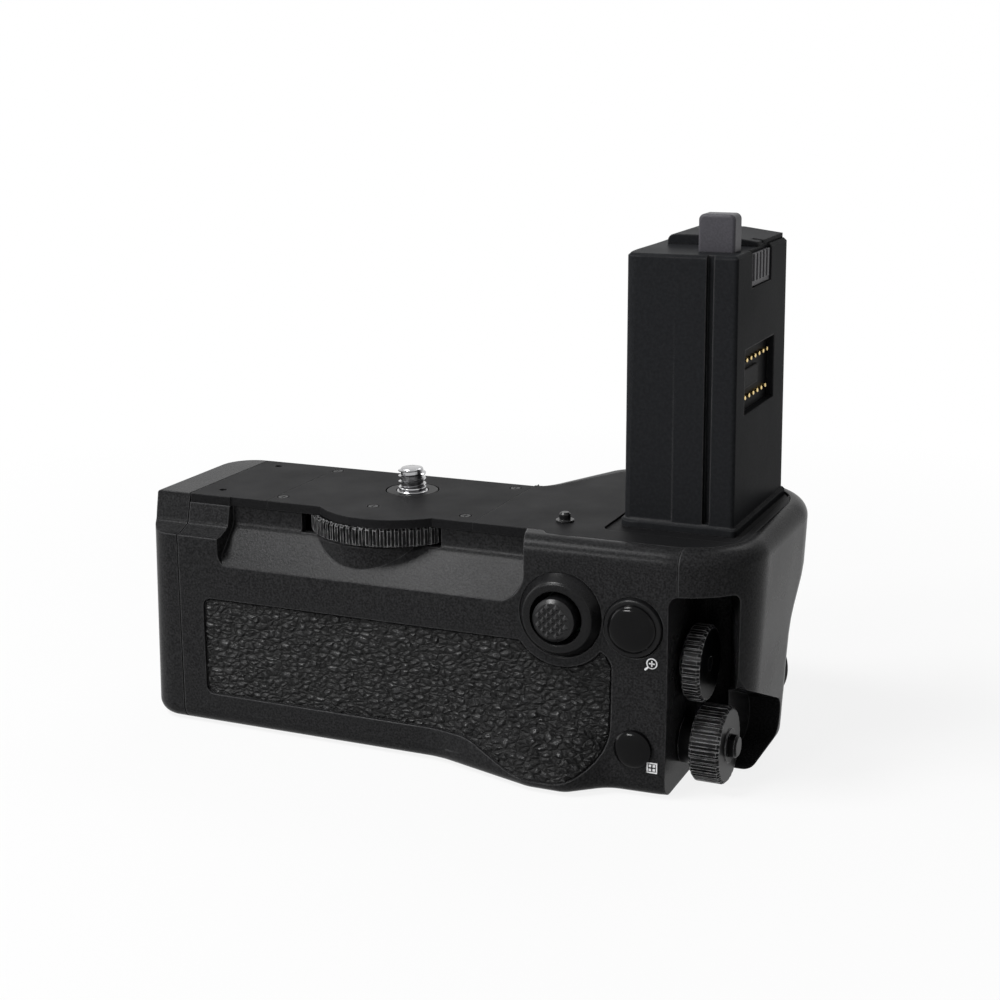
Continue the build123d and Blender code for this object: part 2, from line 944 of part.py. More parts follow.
def make_dial_base():
    top = -dial_top - dial_thick - run_gap
    plate = drum_z(0, -dial_offset, dial_bore_r + overrun / 2, top - base_thick, top)
    plate = plate & far_block(-side_reach, side_reach, -ledge_back + wall + seam_gap * 3, side_reach)
    return plate - drum_z(0, 0, screw_r * 0.6 + hub_clear, top - base_thick - overrun, top + overrun)


# Battery bay

def tray_y(side):
    """Outer face of the tray on one side."""
    return battery_y + side * (battery_width / 2 + tray_gap + tray_wall)


def tray_low():
    return -battery_top - battery_height - tray_gap / 2 - tray_floor


def battery_x(index):
    """Left end of a battery in its place in the tray."""
    return door_seam_x + tray_wall + tray_gap + index * (battery_length + tray_gap * 2 + contact_thick)


def tray_end_x():
    return battery_x(1) + battery_length + tray_gap + contact_thick


def make_tray():
    low = tray_low()
    tray = block(door_seam_x - tray_wall, tray_end_x(), tray_y(-1), tray_y(1), low, -tray_lip)
    for index in (0, 1):
        x0 = battery_x(index) - tray_gap
        x1 = x0 + battery_length + tray_gap * 2 + contact_thick / 2
        tray = tray - block(x0, x1, tray_y(-1) + tray_wall, tray_y(1) - tray_wall, low + tray_floor, 0)
    middle = battery_x(0) + battery_length / 2
    for side in (-1, 1):
        thumb = drum_y(
            middle,
            -tray_lip,
            battery_width / 3,
            tray_y(side) - tray_wall * 2,
            tray_y(side) + tray_wall * 2,
        )
        tray = tray - thumb
    return tray


def battery_slot_z():
    return -battery_top - battery_height * battery_slot_share


def make_batteries():
    cells = []
    for index in (0, 1):
        x0 = battery_x(index)
        y0 = battery_y - battery_width / 2
        z0 = -battery_top - battery_height
        cell = block(x0, x0 + battery_length, y0, y0 + battery_width, z0, -battery_top)
        cell = fillet(cell.edges().filter_by(Axis.X), battery_round)
        slot = block(
            x0 + battery_length - contact_thick,
            x0 + battery_length + overrun,
            y0 + battery_round * 2,
            y0 + battery_width - battery_round * 2,
            battery_slot_z() - battery_slot_high / 2,
            battery_slot_z() + battery_slot_high / 2,
        )
        cells.append(cell - slot)
    return cells


def make_tray_contact_blocks():
    blocks = []
    for index in (0, 1):
        x0 = battery_x(index) + battery_length + tray_gap
        y0 = battery_y - battery_width / 3
        blocks.append(
            block(
                x0,
                x0 + contact_thick / 2,
                y0,
                y0 + battery_width * 2 / 3,
                tray_low() + tray_floor,
                -tray_lip,
            )
        )
    return blocks


def make_tray_contacts():
    pins = []
    for index in (0, 1):
        x1 = battery_x(index) + battery_length + tray_gap
        for count in (-1.5, -0.5, 0.5, 1.5):
            y = battery_y + count * contact_pitch
            pins.append(drum_x(y, battery_slot_z(), contact_r, x1 - contact_reach, x1))
    return pins


def tray_rail(side):
    """Rail on the floor that carries one edge of the tray and guides its side."""
    low = -body_height + floor_thick - overrun / 2
    edge = tray_y(side)
    inner = edge - side * rail_under
    guide = edge + side * tray_gap
    outer = guide + side * tray_wall
    points = [
        (inner, low),
        (outer, low),
        (outer, tray_low() + rail_high),
        (guide, tray_low() + rail_high),
        (guide, tray_low()),
        (inner, tray_low()),
    ]
    rail = prism_x(points, 0, door_seam_x + seam_gap, tray_end_x())
    socket = socket_flange_r + loose_gap * 3
    return rail - block(-socket, socket, -socket, socket, -body_height, 0)


def end_face_x(z):
    """Left end face of the housing at a height."""
    return -left_reach + left_draft * z / body_height


def make_door(shell):
    side = side_reach
    door = shell & far_block(-side, door_seam_x - door_gap, -side, side)
    face_x = end_face_x(slider_z)
    wall_x = face_x + wall
    boss = drum_x(battery_y, slider_z, dish_r + wall, face_x + dish_sink / 2, wall_x + dish_sink)
    door = door + boss
    door = door - drum_x(battery_y, slider_z, dish_r + run_gap, face_x - overrun * 2, slider_seat_x())
    door = door - slider_neck(-side, door_seam_x, neck_clear, bolt_travel)
    for z in (rib_z0, rib_z1):
        rib = block(
            wall_x - wall / 2,
            door_seam_x - tray_wall,
            tray_y(-1),
            tray_y(1),
            z - tray_wall,
            z + tray_wall,
        )
        door = door + rib
    for sign in (-1, 1):
        y = battery_y + sign * (hook_wide / 2 + tray_gap)
        near = min(y, y + sign * wall)
        door = door + block(
            bolt_x() - wall / 2, bolt_x() + bolt_thick, near, near + wall, guide_z0, guide_z1
        )
    return door


def slider_seat_x():
    """Floor of the dish that the thumb slider lies on."""
    return end_face_x(slider_z) + dish_sink


def slider_low_z():
    """Middle of the slider at rest, half its travel below the middle of the dish."""
    return slider_z - bolt_travel / 2


def slider_neck(x0, x1, clear, travel):
    """Neck from the slider to the bolt; travel and clear widen it into the door's slot."""
    half = neck_half + clear
    z = slider_low_z()
    return block(x0, x1, battery_y - half, battery_y + half, z - half, z + half + travel)


def bolt_x():
    """Outer face of the latch bolt."""
    return end_face_x(slider_z) + wall + dish_sink


def make_latch_slider():
    seat = slider_seat_x()
    z = slider_low_z()
    top = seat - slider_thick
    y0 = battery_y - slider_half_y
    y1 = battery_y + slider_half_y
    pad = block(top, seat, y0, y1, z - slider_half_z, z + slider_half_z)
    pad = fillet(pad.edges().filter_by(Axis.X), slider_corner)
    pitch = slider_half_z * 2 / (slider_ribs + 1)
    half = slider_rib_wide / 2
    for rib in range(slider_ribs):
        middle = z - slider_half_z + pitch * (rib + 1)
        bar = block(top - slider_rib_high, top, y0 + half, y1 - half, middle - half, middle + half)
        pad = pad + chamfer(bar.faces().sort_by(Axis.X)[0].edges(), half / 2)
    return pad + slider_neck(seat, bolt_x() + bolt_thick, 0, 0)


def make_latch_bolt():
    x0 = bolt_x()
    x1 = x0 + bolt_thick
    y0 = hook_y - hook_wide / 2
    y1 = y0 + hook_wide
    arm_top = -hook_arm_top
    plate = block(x0, x1, y0, y1, slider_z - hook_foot, arm_top)
    tooth_x0 = door_seam_x + strike_gap * 2 + strike_thick
    arm = block(x0, tooth_x0 + hook_tooth, y0, y1, arm_top - bolt_thick, arm_top)
    tooth = block(tooth_x0, tooth_x0 + hook_tooth, y0, y1, arm_top - bolt_thick, -strike_low - run_gap)
    return plate + arm + tooth - slider_neck(x0 - overrun, x1 + overrun, 0, 0)


# Tower

def tower_form(inset, z0, z1):
    """Tapered column with rounded upright edges, between two heights."""
    faces = []
    for z in (z0, z1):
        draw = inset + tower_taper * z / tower_height
        points = [
            (tower_x0 + draw, tower_y0 + draw),
            (tower_x1 - draw, tower_y0 + draw),
            (tower_x1 - draw, tower_y1 - draw),
            (tower_x0 + draw, tower_y1 - draw),
        ]
        round_r = max(tower_corner - inset, tower_corner / 4)
        radii = [round_r, round_r / 3, round_r / 2, round_r]
        faces.append(Plane.XY.offset(z) * outline_face(points, radii))
    return loft(faces, ruled=True)


def make_tower_shell():
    low = -surround_deep
    shell = tower_form(0, low, tower_height)
    shell = chamfer(top_edges(shell), tower_edge)
    shell = shell - tower_form(tower_wall, low - overrun, tower_height - tower_wall)
    groove = block(
        groove_x0,
        groove_x1,
        tower_y0 - overrun,
        tower_y0 + groove_deep,
        groove_foot,
        tower_height + overrun,
    )
    step = block(
        tower_x0 - overrun,
        step_x,
        tower_y0 - overrun,
        tower_y0 + step_deep,
        groove_foot,
        tower_height + overrun,
    )
    window = block(
        tower_x1 - tower_wall * 2, tower_x1 + overrun, window_y0, window_y1, window_z0, window_z1
    )
    low_z = tower_height - latch_low
    latch = block(
        tower_x1 - latch_deep, tower_x1 + overrun, latch_y0, latch_y1, low_z, tower_height + overrun
    )
    shell = shell - groove - step - window - latch
    foot = tower_form(-tower_foot_out, low, tower_foot)
    foot = chamfer(top_edges(foot), tower_foot_out / 2)
    return shell + (foot - tower_form(tower_wall, low - overrun, tower_foot + overrun))


def make_tower_cap():
    """Raised lid at the back of the tower's top, lower toward the contact side."""
    right = tower_x1 - tower_edge * 2
    points = [
        (cap_x0, tower_height),
        (cap_x0, tower_height + cap_high),
        (cap_bend_x, tower_height + cap_high),
        (right, tower_height + cap_low),
        (right, tower_height),
    ]
    cap = prism_y(points, [0, cap_high * 0.7, cap_high, 0, 0], cap_y0, tower_y1 - tower_edge * 2)
    notch_y = cap_y0 + cap_notch
    notch = block(
        right - cap_notch,
        tower_x1,
        notch_y,
        notch_y + cap_notch,
        tower_height + cap_low / 4,
        tower_height + cap_high,
    )
    return cap - notch


def make_tower_tab():
    tab = block(tab_x0, tab_x1, tab_y0, tab_y0 + tab_deep, tower_height, tower_height + tab_high)
    tab = fillet(tab.edges().filter_by(Axis.Y).group_by(Axis.Z)[-1], tab_round)
    tab = fillet(tab.edges().filter_by(Axis.Z), tab_round / 2)
    return tab


def make_tower_latch():
    """Ribbed insert at the top of the tower's contact side."""
    x0 = tower_x1 - latch_deep
    z0 = tower_height - latch_low
    z1 = tower_height - latch_high
    plate = block(x0, x0 + latch_deep / 2, latch_y0 + seam_gap, latch_y1 - seam_gap, z0 + seam_gap, z1)
    pitch = (latch_y1 - latch_y0) / (latch_ribs + 1)
    for rib in range(latch_ribs):
        y = latch_y0 + pitch * (rib + 1)
        plate = plate + block(x0, x0 + latch_deep * 0.75, y - pitch / 4, y + pitch / 4, z0 + pitch / 2, z1)
    return plate


def make_tower_contact_block():
    x1 = tower_x1 - tower_wall - tower_taper
    plate = block(
        x1 - window_deep, x1, window_y0 - wall, window_y1 + wall, window_z0 - wall, window_z1 + wall
    )
    middle = (contact_row_high + contact_row_low) / 2
    pad = block(
        x1,
        x1 + tower_wall / 2,
        window_y0 + wall / 2,
        window_y0 + pad_long,
        middle - pad_high / 2,
        middle + pad_high / 2,
    )
    pad = chamfer(pad.edges().group_by(Axis.X)[-1], tower_wall / 8)
    return plate + pad


def make_tower_contacts():
    pins = []
    x0 = tower_x1 - tower_wall - tower_taper
    for z, start in ((contact_row_high, contact_first), (contact_row_low, contact_first - contact_r * 2)):
        for count in range(contact_count):
            pin = drum_x(start + count * contact_pitch, z, contact_r, x0, x0 + tower_wall * 0.6)
            pins.append(fillet(pin.edges().sort_by(Axis.X)[-1], contact_r / 2))
    return pins


def make_tower_board():
    x1 = tower_x1 - tower_wall - tower_taper - window_deep
    return block(x1 - board_thick, x1, window_y0 + wall, window_y1, main_board_top(), window_z1)


# Rear controls

def rear_y(z):
    """Rear face of the housing at a height."""
    return -rear_reach + rear_draft * z / body_height


def stick_pivot():
    return rear_y(stick_z) + stick_pivot_deep


def switch_top():
    """Face of the switches, toward the rear."""
    return button_board_y - switch_high


def cone_out(x, z, radius_in, radius_out, y_in, y_out):
    """Cone along Y whose wide end is inside, at y_in."""
    middle = (y_in + y_out) / 2
    return Pos(x, middle, z) * Rot(90, 0, 0) * Cone(radius_in, radius_out, y_in - y_out)


def make_stick_collar():
    y_in = rear_y(stick_z) + collar_seat
    y_out = rear_y(stick_z) - stick_collar_high
    cone = cone_out(stick_x, stick_z, stick_collar_r, stick_collar_r * collar_top_share, y_in, y_out)
    rim = cone.edges().filter_by(GeomType.CIRCLE).sort_by(Axis.Y)[0]
    cone = fillet(rim, collar_seat * 3)
    return cone - drum_y(stick_x, stick_z, stick_hole_r, y_out - overrun, y_in + overrun)


def make_stick_carrier():
    y0 = rear_y(stick_z) + wall + run_gap
    y1 = stick_pivot() * 2 - y0
    ring = drum_y(stick_x, stick_z, carrier_r, y0, y1) - drum_y(
        stick_x, stick_z, carrier_bore_r, y0 - overrun, y1 + overrun
    )
    hole = drum_x(
        stick_pivot(), stick_z, pivot_r + hub_clear, stick_x - carrier_r * 2, stick_x + carrier_r * 2
    )
    return ring - hole


def make_stick_gimbal():
    half = gimbal_thick / 2
    y = stick_pivot()
    ring = drum_y(stick_x, stick_z, gimbal_r, y - half, y + half)
    ring = ring - drum_y(stick_x, stick_z, gimbal_bore_r, y - overrun, y + overrun)
    ring = ring - drum_z(stick_x, y, pivot_r + hub_clear, stick_z - gimbal_r * 2, stick_z + gimbal_r * 2)
    for side in (-1, 1):
        near = stick_x + side * (gimbal_r - pivot_r)
        far = stick_x + side * (carrier_r - run_gap)
        ring = ring + drum_x(y, stick_z, pivot_r, min(near, far), max(near, far))
    return ring


def make_stick_stem():
    y = stick_pivot()
    half = gimbal_thick / 2
    hub = drum_y(stick_x, stick_z, stick_hub_r, y - half, y + half * 0.6)
    pins = drum_z(stick_x, y, pivot_r, stick_z - gimbal_r + run_gap, stick_z + gimbal_r - run_gap)
    tip = rear_y(stick_z) - stick_cap_high / 2
    return hub + pins + drum_y(stick_x, stick_z, stick_stem_r, tip, y)


def make_stick_cap():
    top = rear_y(stick_z) - stick_cap_high
    low = rear_y(stick_z) - run_gap * 2
    cap = drum_y(stick_x, stick_z, stick_cap_r, top, low)
    cap = chamfer(cap.edges().filter_by(GeomType.CIRCLE).sort_by(Axis.Y)[0], stick_cap_r / 6)
    return cap - drum_y(stick_x, stick_z, stick_stem_r, rear_y(stick_z) - stick_cap_high / 2, low + overrun)


def push_button(x, z, radius, stand):
    """Round button through the rear wall, with a flange behind it and a plunger."""
    face = rear_y(z)
    top = face - stand
    inner = face + wall + run_gap
    button = drum_y(x, z, radius, top, inner + run_gap)
    button = fillet(button.edges().filter_by(GeomType.CIRCLE).sort_by(Axis.Y)[0], stand * 0.6)
    flange = drum_y(x, z, radius + button_clear * 2.5, inner, inner + run_gap * 2)
    plunger = drum_y(x, z, switch_r * 0.8, inner, switch_top() - button_travel - hub_clear)
    return button + flange + plunger


def make_focus_button():
    return push_button(focus_x, focus_z, focus_r, focus_high)


def make_hold_button():
    return push_button(hold_x, hold_z, hold_r, hold_high)


def make_focus_collar():
    y_in = rear_y(focus_z) + collar_seat
    y_out = rear_y(focus_z) - focus_high * 0.7
    ring = cone_out(focus_x, focus_z, focus_collar_r, focus_collar_r * 0.94, y_in, y_out)
    ring = fillet(ring.edges().filter_by(GeomType.CIRCLE).sort_by(Axis.Y)[0], collar_seat)
    ring = ring - drum_y(focus_x, focus_z, focus_r + button_clear, y_out - overrun, y_in + overrun)
    return ring


def control_pads():
    """Flat pads inside the rear wall that the flanges of the buttons rest on."""
    pads = None
    places = ((stick_x, stick_z, carrier_r), (focus_x, focus_z, focus_r), (hold_x, hold_z, hold_r))
    for x, z, radius in places:
        face = rear_y(z) + wall
        pad = drum_y(x, z, radius + button_clear * 3, face - wall / 2, face + run_gap)
        pads = pad if pads is None else pads + pad
    return pads


def rear_control_room():
    deep = -rear_reach - heel_reach
    inside = -rear_reach + wall * 3
    room = drum_y(stick_x, stick_z, stick_hole_r, deep, inside)
    room = room + drum_y(
        stick_x, stick_z, stick_collar_r + seam_gap / 2, deep, rear_y(stick_z) + collar_seat
    )
    room = room + drum_y(focus_x, focus_z, focus_r + button_clear, deep, inside)
    room = room + drum_y(
        focus_x, focus_z, focus_collar_r + seam_gap / 2, deep, rear_y(focus_z) + collar_seat
    )
    room = room + drum_y(hold_x, hold_z, hold_r + button_clear, deep, inside)
    for z in (upper_dial_z, lower_dial_z):
        room = room + drum_x(rear_dial_y, z, shaft_r + hub_clear, recess_x - wall * 2, recess_x + overrun)
    return room


def make_button_board():
    board = block(board_x0, board_x1, button_board_y, button_board_y + board_thick, board_z0, board_z1)
    return board


def make_switches():
    domes = [shutter_drum(switch_r, 0, switch_high)]
    for x, z in ((stick_x, stick_z), (focus_x, focus_z), (hold_x, hold_z)):
        domes.append(drum_y(x, z, switch_r, switch_top(), button_board_y))
    front = custom_board_y() + board_thick
    domes.append(drum_y(custom_x, custom_z, switch_r, front, front + switch_high))
    return domes


def board_posts_rear():
    posts = None
    middle = (board_z0 + board_z1) / 2
    places = (
        (board_x1 - wall * 5.6, board_z1 - wall),
        (board_x0 + wall * 2, middle),
        (board_x1 - wall, middle - wall * 3),
    )
    for x, z in places:
        post = drum_y(x, z, post_r, rear_y(z) + wall / 2, button_board_y)
        posts = post if posts is None else posts + post
    return posts


# Rear dials

def dial_wheel(x, z, radius, thick):
    """Knurled wheel on an X axis, with chamfered rims."""
    half = thick / 2
    wheel = drum_x(rear_dial_y, z, radius, x - half, x + half)
    wheel = chamfer(wheel.edges().filter_by(GeomType.CIRCLE), rib_depth * 0.8)
    plane = Plane(origin=(x, rear_dial_y, z), x_dir=(0, 1, 0), z_dir=(1, 0, 0))
    return ribbed(wheel, plane, radius, thick, rear_dial_ribs, rib_depth)


def make_upper_dial():
    half = upper_dial_thick / 2
    wheel = dial_wheel(upper_dial_x, upper_dial_z, upper_dial_r, upper_dial_thick)
    hub = drum_x(rear_dial_y, upper_dial_z, upper_dial_r * 0.55, recess_x + run_gap, upper_dial_x - half)
    bevel_x = upper_dial_x - half
    cone = Pos(bevel_x - hub_cone / 2, rear_dial_y, upper_dial_z) * Rot(0, 90, 0) * Cone(
        upper_dial_r * 0.6, upper_dial_r * 0.86, hub_cone
    )
    wheel = wheel + hub + cone
    return wheel - drum_x(rear_dial_y, upper_dial_z, shaft_r, recess_x, upper_dial_x + half + overrun)


def make_lower_dial():
    half = lower_dial_thick / 2
    wheel = dial_wheel(lower_dial_x, lower_dial_z, lower_dial_r, lower_dial_thick)
    hub = drum_x(rear_dial_y, lower_dial_z, lower_dial_r * 0.6, recess_x + run_gap, lower_dial_x - half)
    collar = drum_x(
        rear_dial_y,
        lower_dial_z,
        lock_r * 1.5,
        lower_dial_x + half,
        lower_dial_x + half + lock_high / 8,
    )
    wheel = wheel + hub + collar
    wheel = wheel - drum_x(rear_dial_y, lower_dial_z, shaft_r, recess_x, lower_dial_x)
    return wheel - drum_x(
        rear_dial_y, lower_dial_z, lock_r + hub_clear, lower_dial_x, lower_dial_x + half + overrun
    )


def dial_shaft(z, end):
    return drum_x(rear_dial_y, z, shaft_r, encoder_x0 + run_gap, end)


def make_dial_lock():
    face = lower_dial_x + lower_dial_thick / 2
    lock = drum_x(rear_dial_y, lower_dial_z, lock_r, lower_dial_x + lock_travel + run_gap, face + lock_high)
    return chamfer(lock.edges().filter_by(GeomType.CIRCLE).sort_by(Axis.X)[-1], lock_r / 5)


def make_encoders():
    bodies = []
    for z in (upper_dial_z, lower_dial_z):
        half = encoder_size / 2
        body = block(
            encoder_x0, recess_x - wall, rear_dial_y - half, rear_dial_y + half, z - half, z + half
        )
        body = chamfer(body.edges().filter_by(Axis.X), encoder_size / 10)
        bodies.append(
            body - drum_x(rear_dial_y, z, shaft_r + hub_clear, encoder_x0 + board_thick / 6, recess_x)
        )
    return bodies


def make_dial_board():
    half = encoder_size / 2
    x0 = encoder_x0 - board_thick
    low = lower_dial_z - half
    high = upper_dial_z + half
    return block(x0, encoder_x0, rear_dial_y - half, rear_dial_y + encoder_size, low, high)


def make_bay_contacts():
    pins = []
    x1 = encoder_x0 - board_thick
    for count in (1, 2, 3, 4):
        y = battery_y - contact_pitch * count / 2
        pins.append(drum_x(y, upper_dial_z, contact_r, tray_end_x(), x1))
    return pins


# Front controls

def make_shutter_collar():
    ring = shutter_drum(
        lever_bore_r - hub_clear, shutter_pad_reach, shutter_pad_reach + lever_high + run_gap
    )
    return ring - shutter_drum(shutter_r + button_clear, 0, shutter_pad_reach * 2)


def make_power_lever():
    top = shutter_pad_reach + lever_high
    low = shutter_pad_reach + run_gap / 2
    ring = shutter_drum(lever_r, low, top)
    nub = shutter_frame() * (
        Pos(-lever_r * 0.9, 0, (low + top) / 2) * Box(lever_r * 0.5, lever_r * 0.4, top - low)
    )
    ring = ring + nub
    rims = ring.faces().filter_by(GeomType.PLANE).sort_by(lambda face: face.center().Y)[-1].edges()
    ring = chamfer(rims, lever_high / 6)
    return ring - shutter_drum(lever_bore_r, 0, top + overrun)


def make_shutter_button():
    top = shutter_pad_reach + shutter_high
    button = shutter_drum(shutter_r, shutter_pad_reach / 2, top)
    rim = button.edges().filter_by(GeomType.CIRCLE).sort_by(Axis.Y)[-1]
    button = fillet(rim, shutter_high / 3)
    plunger = shutter_drum(switch_r * 0.8, switch_high + shutter_travel + hub_clear, shutter_pad_reach / 2)
    return button + plunger


def make_front_boards():
    flat = Box(shutter_board_wide, shutter_board_tall, board_thick)
    shutter = shutter_frame() * (Pos(0, 0, -board_thick / 2) * flat)
    y0 = custom_board_y()
    half = post_span / 2
    custom = block(
        custom_x - post_span,
        custom_x + post_span,
        y0,
        y0 + board_thick,
        custom_z - half,
        custom_z + half,
    )
    return [shutter, custom]


def custom_board_y():
    return front_y() - custom_deep


def make_custom_button():
    top = front_y() + custom_high
    inner = front_y() - wall - run_gap
    button = drum_y(custom_x, custom_z, custom_r, inner - run_gap, top)
    button = fillet(button.edges().filter_by(GeomType.CIRCLE).sort_by(Axis.Y)[-1], custom_high / 2)
    flange = drum_y(custom_x, custom_z, custom_r + button_clear * 2.5, inner - run_gap * 2, inner)
    tip = custom_board_y() + board_thick + switch_high + button_travel + hub_clear
    return button + flange + drum_y(custom_x, custom_z, switch_r * 0.8, tip, inner)


def board_posts_front():
    posts = None
    for side in (-1, 1):
        x = custom_x + side * (post_span - post_r)
        post = drum_y(x, custom_z, post_r, custom_board_y() + board_thick, front_y() - wall / 2)
        posts = post if posts is None else posts + post
    for side in (-1, 1):
        offset = Pos(0, side * shutter_post_reach, shutter_pad_reach / 3)
        posts = posts + shutter_frame() * (offset * Cylinder(post_r, shutter_pad_reach * 2 / 3))
    return posts


def make_front_dial():
    half = front_dial_thick / 2
    wheel = drum_x(front_dial_y(), front_dial_z, front_dial_r, front_dial_x - half, front_dial_x + half)
    wheel = chamfer(wheel.edges().filter_by(GeomType.CIRCLE), rib_depth * 0.8)
    plane = Plane(origin=(front_dial_x, front_dial_y(), front_dial_z), x_dir=(0, 1, 0), z_dir=(1, 0, 0))
    wheel = ribbed(wheel, plane, front_dial_r, front_dial_thick, front_dial_ribs, rib_depth)
    bore = drum_x(
        front_dial_y(),
        front_dial_z,
        shaft_r + hub_clear,
        front_dial_x - half * 2,
        front_dial_x + half * 2,
    )
    return wheel - bore


def make_front_dial_axle():
    half = front_dial_thick / 2 + axle_extra
    return drum_x(front_dial_y(), front_dial_z, shaft_r, front_dial_x - half, front_dial_x + half)


def front_dial_ears():
    """Two ears inside the front wall that hold the front dial's axle."""
    ears = None
    half = shaft_r * 2
    for side in (-1, 1):
        near = front_dial_x + side * (front_dial_thick / 2 + run_gap * 2)
        far = near + side * (axle_extra - run_gap)
        ear = block(
            min(near, far),
            max(near, far),
            front_dial_y() - half,
            front_y() - wall / 2,
            front_dial_z - half,
            front_dial_z + half,
        )
        ears = ear if ears is None else ears + ear
    return ears - drum_x(
        front_dial_y(),
        front_dial_z,
        shaft_r,
        front_dial_x - side_reach / 4,
        front_dial_x + side_reach / 4,
    )


def front_control_room():
    far = front_y() + handle_reach
    half = front_dial_thick / 2 + run_gap * 2
    tall = front_dial_r + run_gap * 2
    room = block(
        front_dial_x - half,
        front_dial_x + half,
        front_y() - wall * 2,
        far,
        front_dial_z - tall,
        front_dial_z + tall,
    )
    room = room + drum_y(custom_x, custom_z, custom_r + button_clear, front_y() - wall * 2, far)
    return room + shutter_drum(shutter_r + button_clear, -overrun, shutter_pad_reach * 2)


# Grip skins

def rear_skin_form(inset):
    """Prism that bounds the textured panel on the rear."""
    top = -rear_skin_top - inset
    points = [
        (rear_skin_left + inset, top),
        (rear_skin_right - inset, top),
        (rear_skin_right - inset, -rear_skin_low + inset),
        (heel_crest_x0 - overrun, -rear_skin_low + inset),
        (heel_crest_x0 - heel_reach * 2, -rear_skin_foot + inset),
        (rear_skin_left + inset, -rear_skin_foot + inset),
    ]
    radii = [skin_round, skin_round * 2, skin_round * 6, skin_round * 6, skin_round * 6, skin_round]
    prism = prism_y(points, radii, -side_reach, rear_y(0) + heel_reach)
    return prism - drum_y(stick_x, stick_z, stick_collar_r + skin_round + inset, -side_reach, side_reach)


def front_skin_form(inset):
    """Block that bounds the textured panel on the front of the handle."""
    side = side_reach
    return block(
        handle_outer_x + corner_flank + inset,
        side,
        front_skin_y + inset,
        side,
        -front_skin_low + inset,
        -top_round - skin_round - inset,
    )


def make_rear_skin():
    form = rear_skin_form(seam_gap)
    outer = (upper_body(0) + fillet(bottom_edges(lower_body(0)), bottom_round)) & form
    return outer - upper_body(skin_thick) - lower_body(skin_thick)


def make_front_skin():
    return (upper_body(0) & front_skin_form(seam_gap)) - upper_body(skin_thick)


def skin_room():
    """Shallow pockets in the covers that the two skins lie in."""
    body = upper_body(skin_thick) + lower_body(skin_thick)
    return (rear_skin_form(0) - body) + (front_skin_form(0) - body)


# Boards inside and the tripod socket

def main_board_top():
    return -main_board_drop


def make_main_board():
    board = block(
        main_board_x0,
        main_board_x1,
        main_board_y0,
        main_board_y1,
        main_board_top() - board_thick,
        main_board_top(),
    )
    span = (main_board_x1 - main_board_x0) / 4
    for step, size in ((1, 3), (2, 4), (3, 2.5)):
        chip = span * size / 4
        x = main_board_x0 + span * step
        y = (main_board_y0 + main_board_y1) / 2
        low = main_board_top() - board_thick * 2
        board = board + block(
            x - chip / 2, x + chip / 2, y - chip / 2, y + chip / 2, low, main_board_top() - board_thick
        )
    return board


def main_board_posts():
    posts = None
    for x in (main_board_x0 + wall, tower_neck_x0 - wall):
        for y in (main_board_y0 + wall, main_board_y1 - wall):
            post = drum_z(x, y, post_r, main_board_top(), -plate_thick)
            posts = post if posts is None else posts + post
    return posts


def make_tripod_socket():
    low = -body_height
    flange = drum_z(0, 0, socket_flange_r, low, low + bottom_plate_thick)
    barrel = drum_z(0, 0, socket_barrel_r, low, low + socket_length)
    return flange + barrel - drum_z(0, 0, screw_r, low - overrun, low + socket_length + overrun)


def build_nodes():
    """Every sub-part by its node name."""
    shell = housing_shell()
    rear, front, end = covers(shell)
    return {
        "rear_cover": rear,
        "front_cover": front,
        "end_cover": end,
        "bottom_plate": make_bottom_plate(),
        "bottom_screws": make_bottom_screws(),
        "top_plate_left": make_top_plate_left(),
        "top_plate_center": make_top_plate_center(),
        "top_plate_right": make_top_plate_right() + main_board_posts(),
        "top_screws": make_top_screws(),
        "locating_pin": make_locating_pin(),
        "attachment_dial": make_attachment_dial(),
        "fixing_screw": make_fixing_screw(),
        "screw_washer": make_screw_washer(),
        "dial_hub": make_dial_hub(),
        "dial_base": make_dial_base(),
        "battery_door": make_door(shell),
        "latch_slider": make_latch_slider(),
        "latch_bolt": make_latch_bolt(),
        "battery_tray": make_tray(),
        "batteries": make_batteries(),
        "tray_contact_blocks": make_tray_contact_blocks(),
        "tray_contacts": make_tray_contacts(),
        "tower_shell": make_tower_shell(),
        "tower_cap": make_tower_cap(),
        "tower_tab": make_tower_tab(),
        "tower_latch": make_tower_latch(),
        "tower_contact_block": make_tower_contact_block(),
        "tower_contacts": make_tower_contacts(),
        "tower_board": make_tower_board(),
        "stick_collar": make_stick_collar(),
        "stick_carrier": make_stick_carrier(),
        "stick_gimbal": make_stick_gimbal(),
        "stick_stem": make_stick_stem(),
        "stick_cap": make_stick_cap(),
        "focus_collar": make_focus_collar(),
        "focus_button": make_focus_button(),
        "hold_button": make_hold_button(),
        "button_board": make_button_board(),
        "switches": make_switches(),
        "upper_dial": make_upper_dial(),
        "upper_dial_shaft": dial_shaft(upper_dial_z, upper_dial_x + upper_dial_thick / 2),
        "lower_dial": make_lower_dial(),
        "lower_dial_shaft": dial_shaft(lower_dial_z, lower_dial_x - run_gap),
        "dial_lock": make_dial_lock(),
        "dial_encoders": make_encoders(),
        "dial_board": make_dial_board(),
        "bay_contacts": make_bay_contacts(),
        "shutter_collar": make_shutter_collar(),
        "power_lever": make_power_lever(),
        "shutter_button": make_shutter_button(),
        "front_boards": make_front_boards(),
        "main_board": make_main_board(),
        "tripod_socket": make_tripod_socket(),
        "custom_button": make_custom_button(),
        "front_dial": make_front_dial(),
        "front_dial_axle": make_front_dial_axle(),
        "rear_skin": make_rear_skin(),
        "front_skin": make_front_skin(),
    }


os.makedirs("parts", exist_ok=True)
for name, shape in build_nodes().items():
    if isinstance(shape, list):
        shape = Compound(children=shape)
    export_step(shape, os.path.join("parts", name + ".step"))
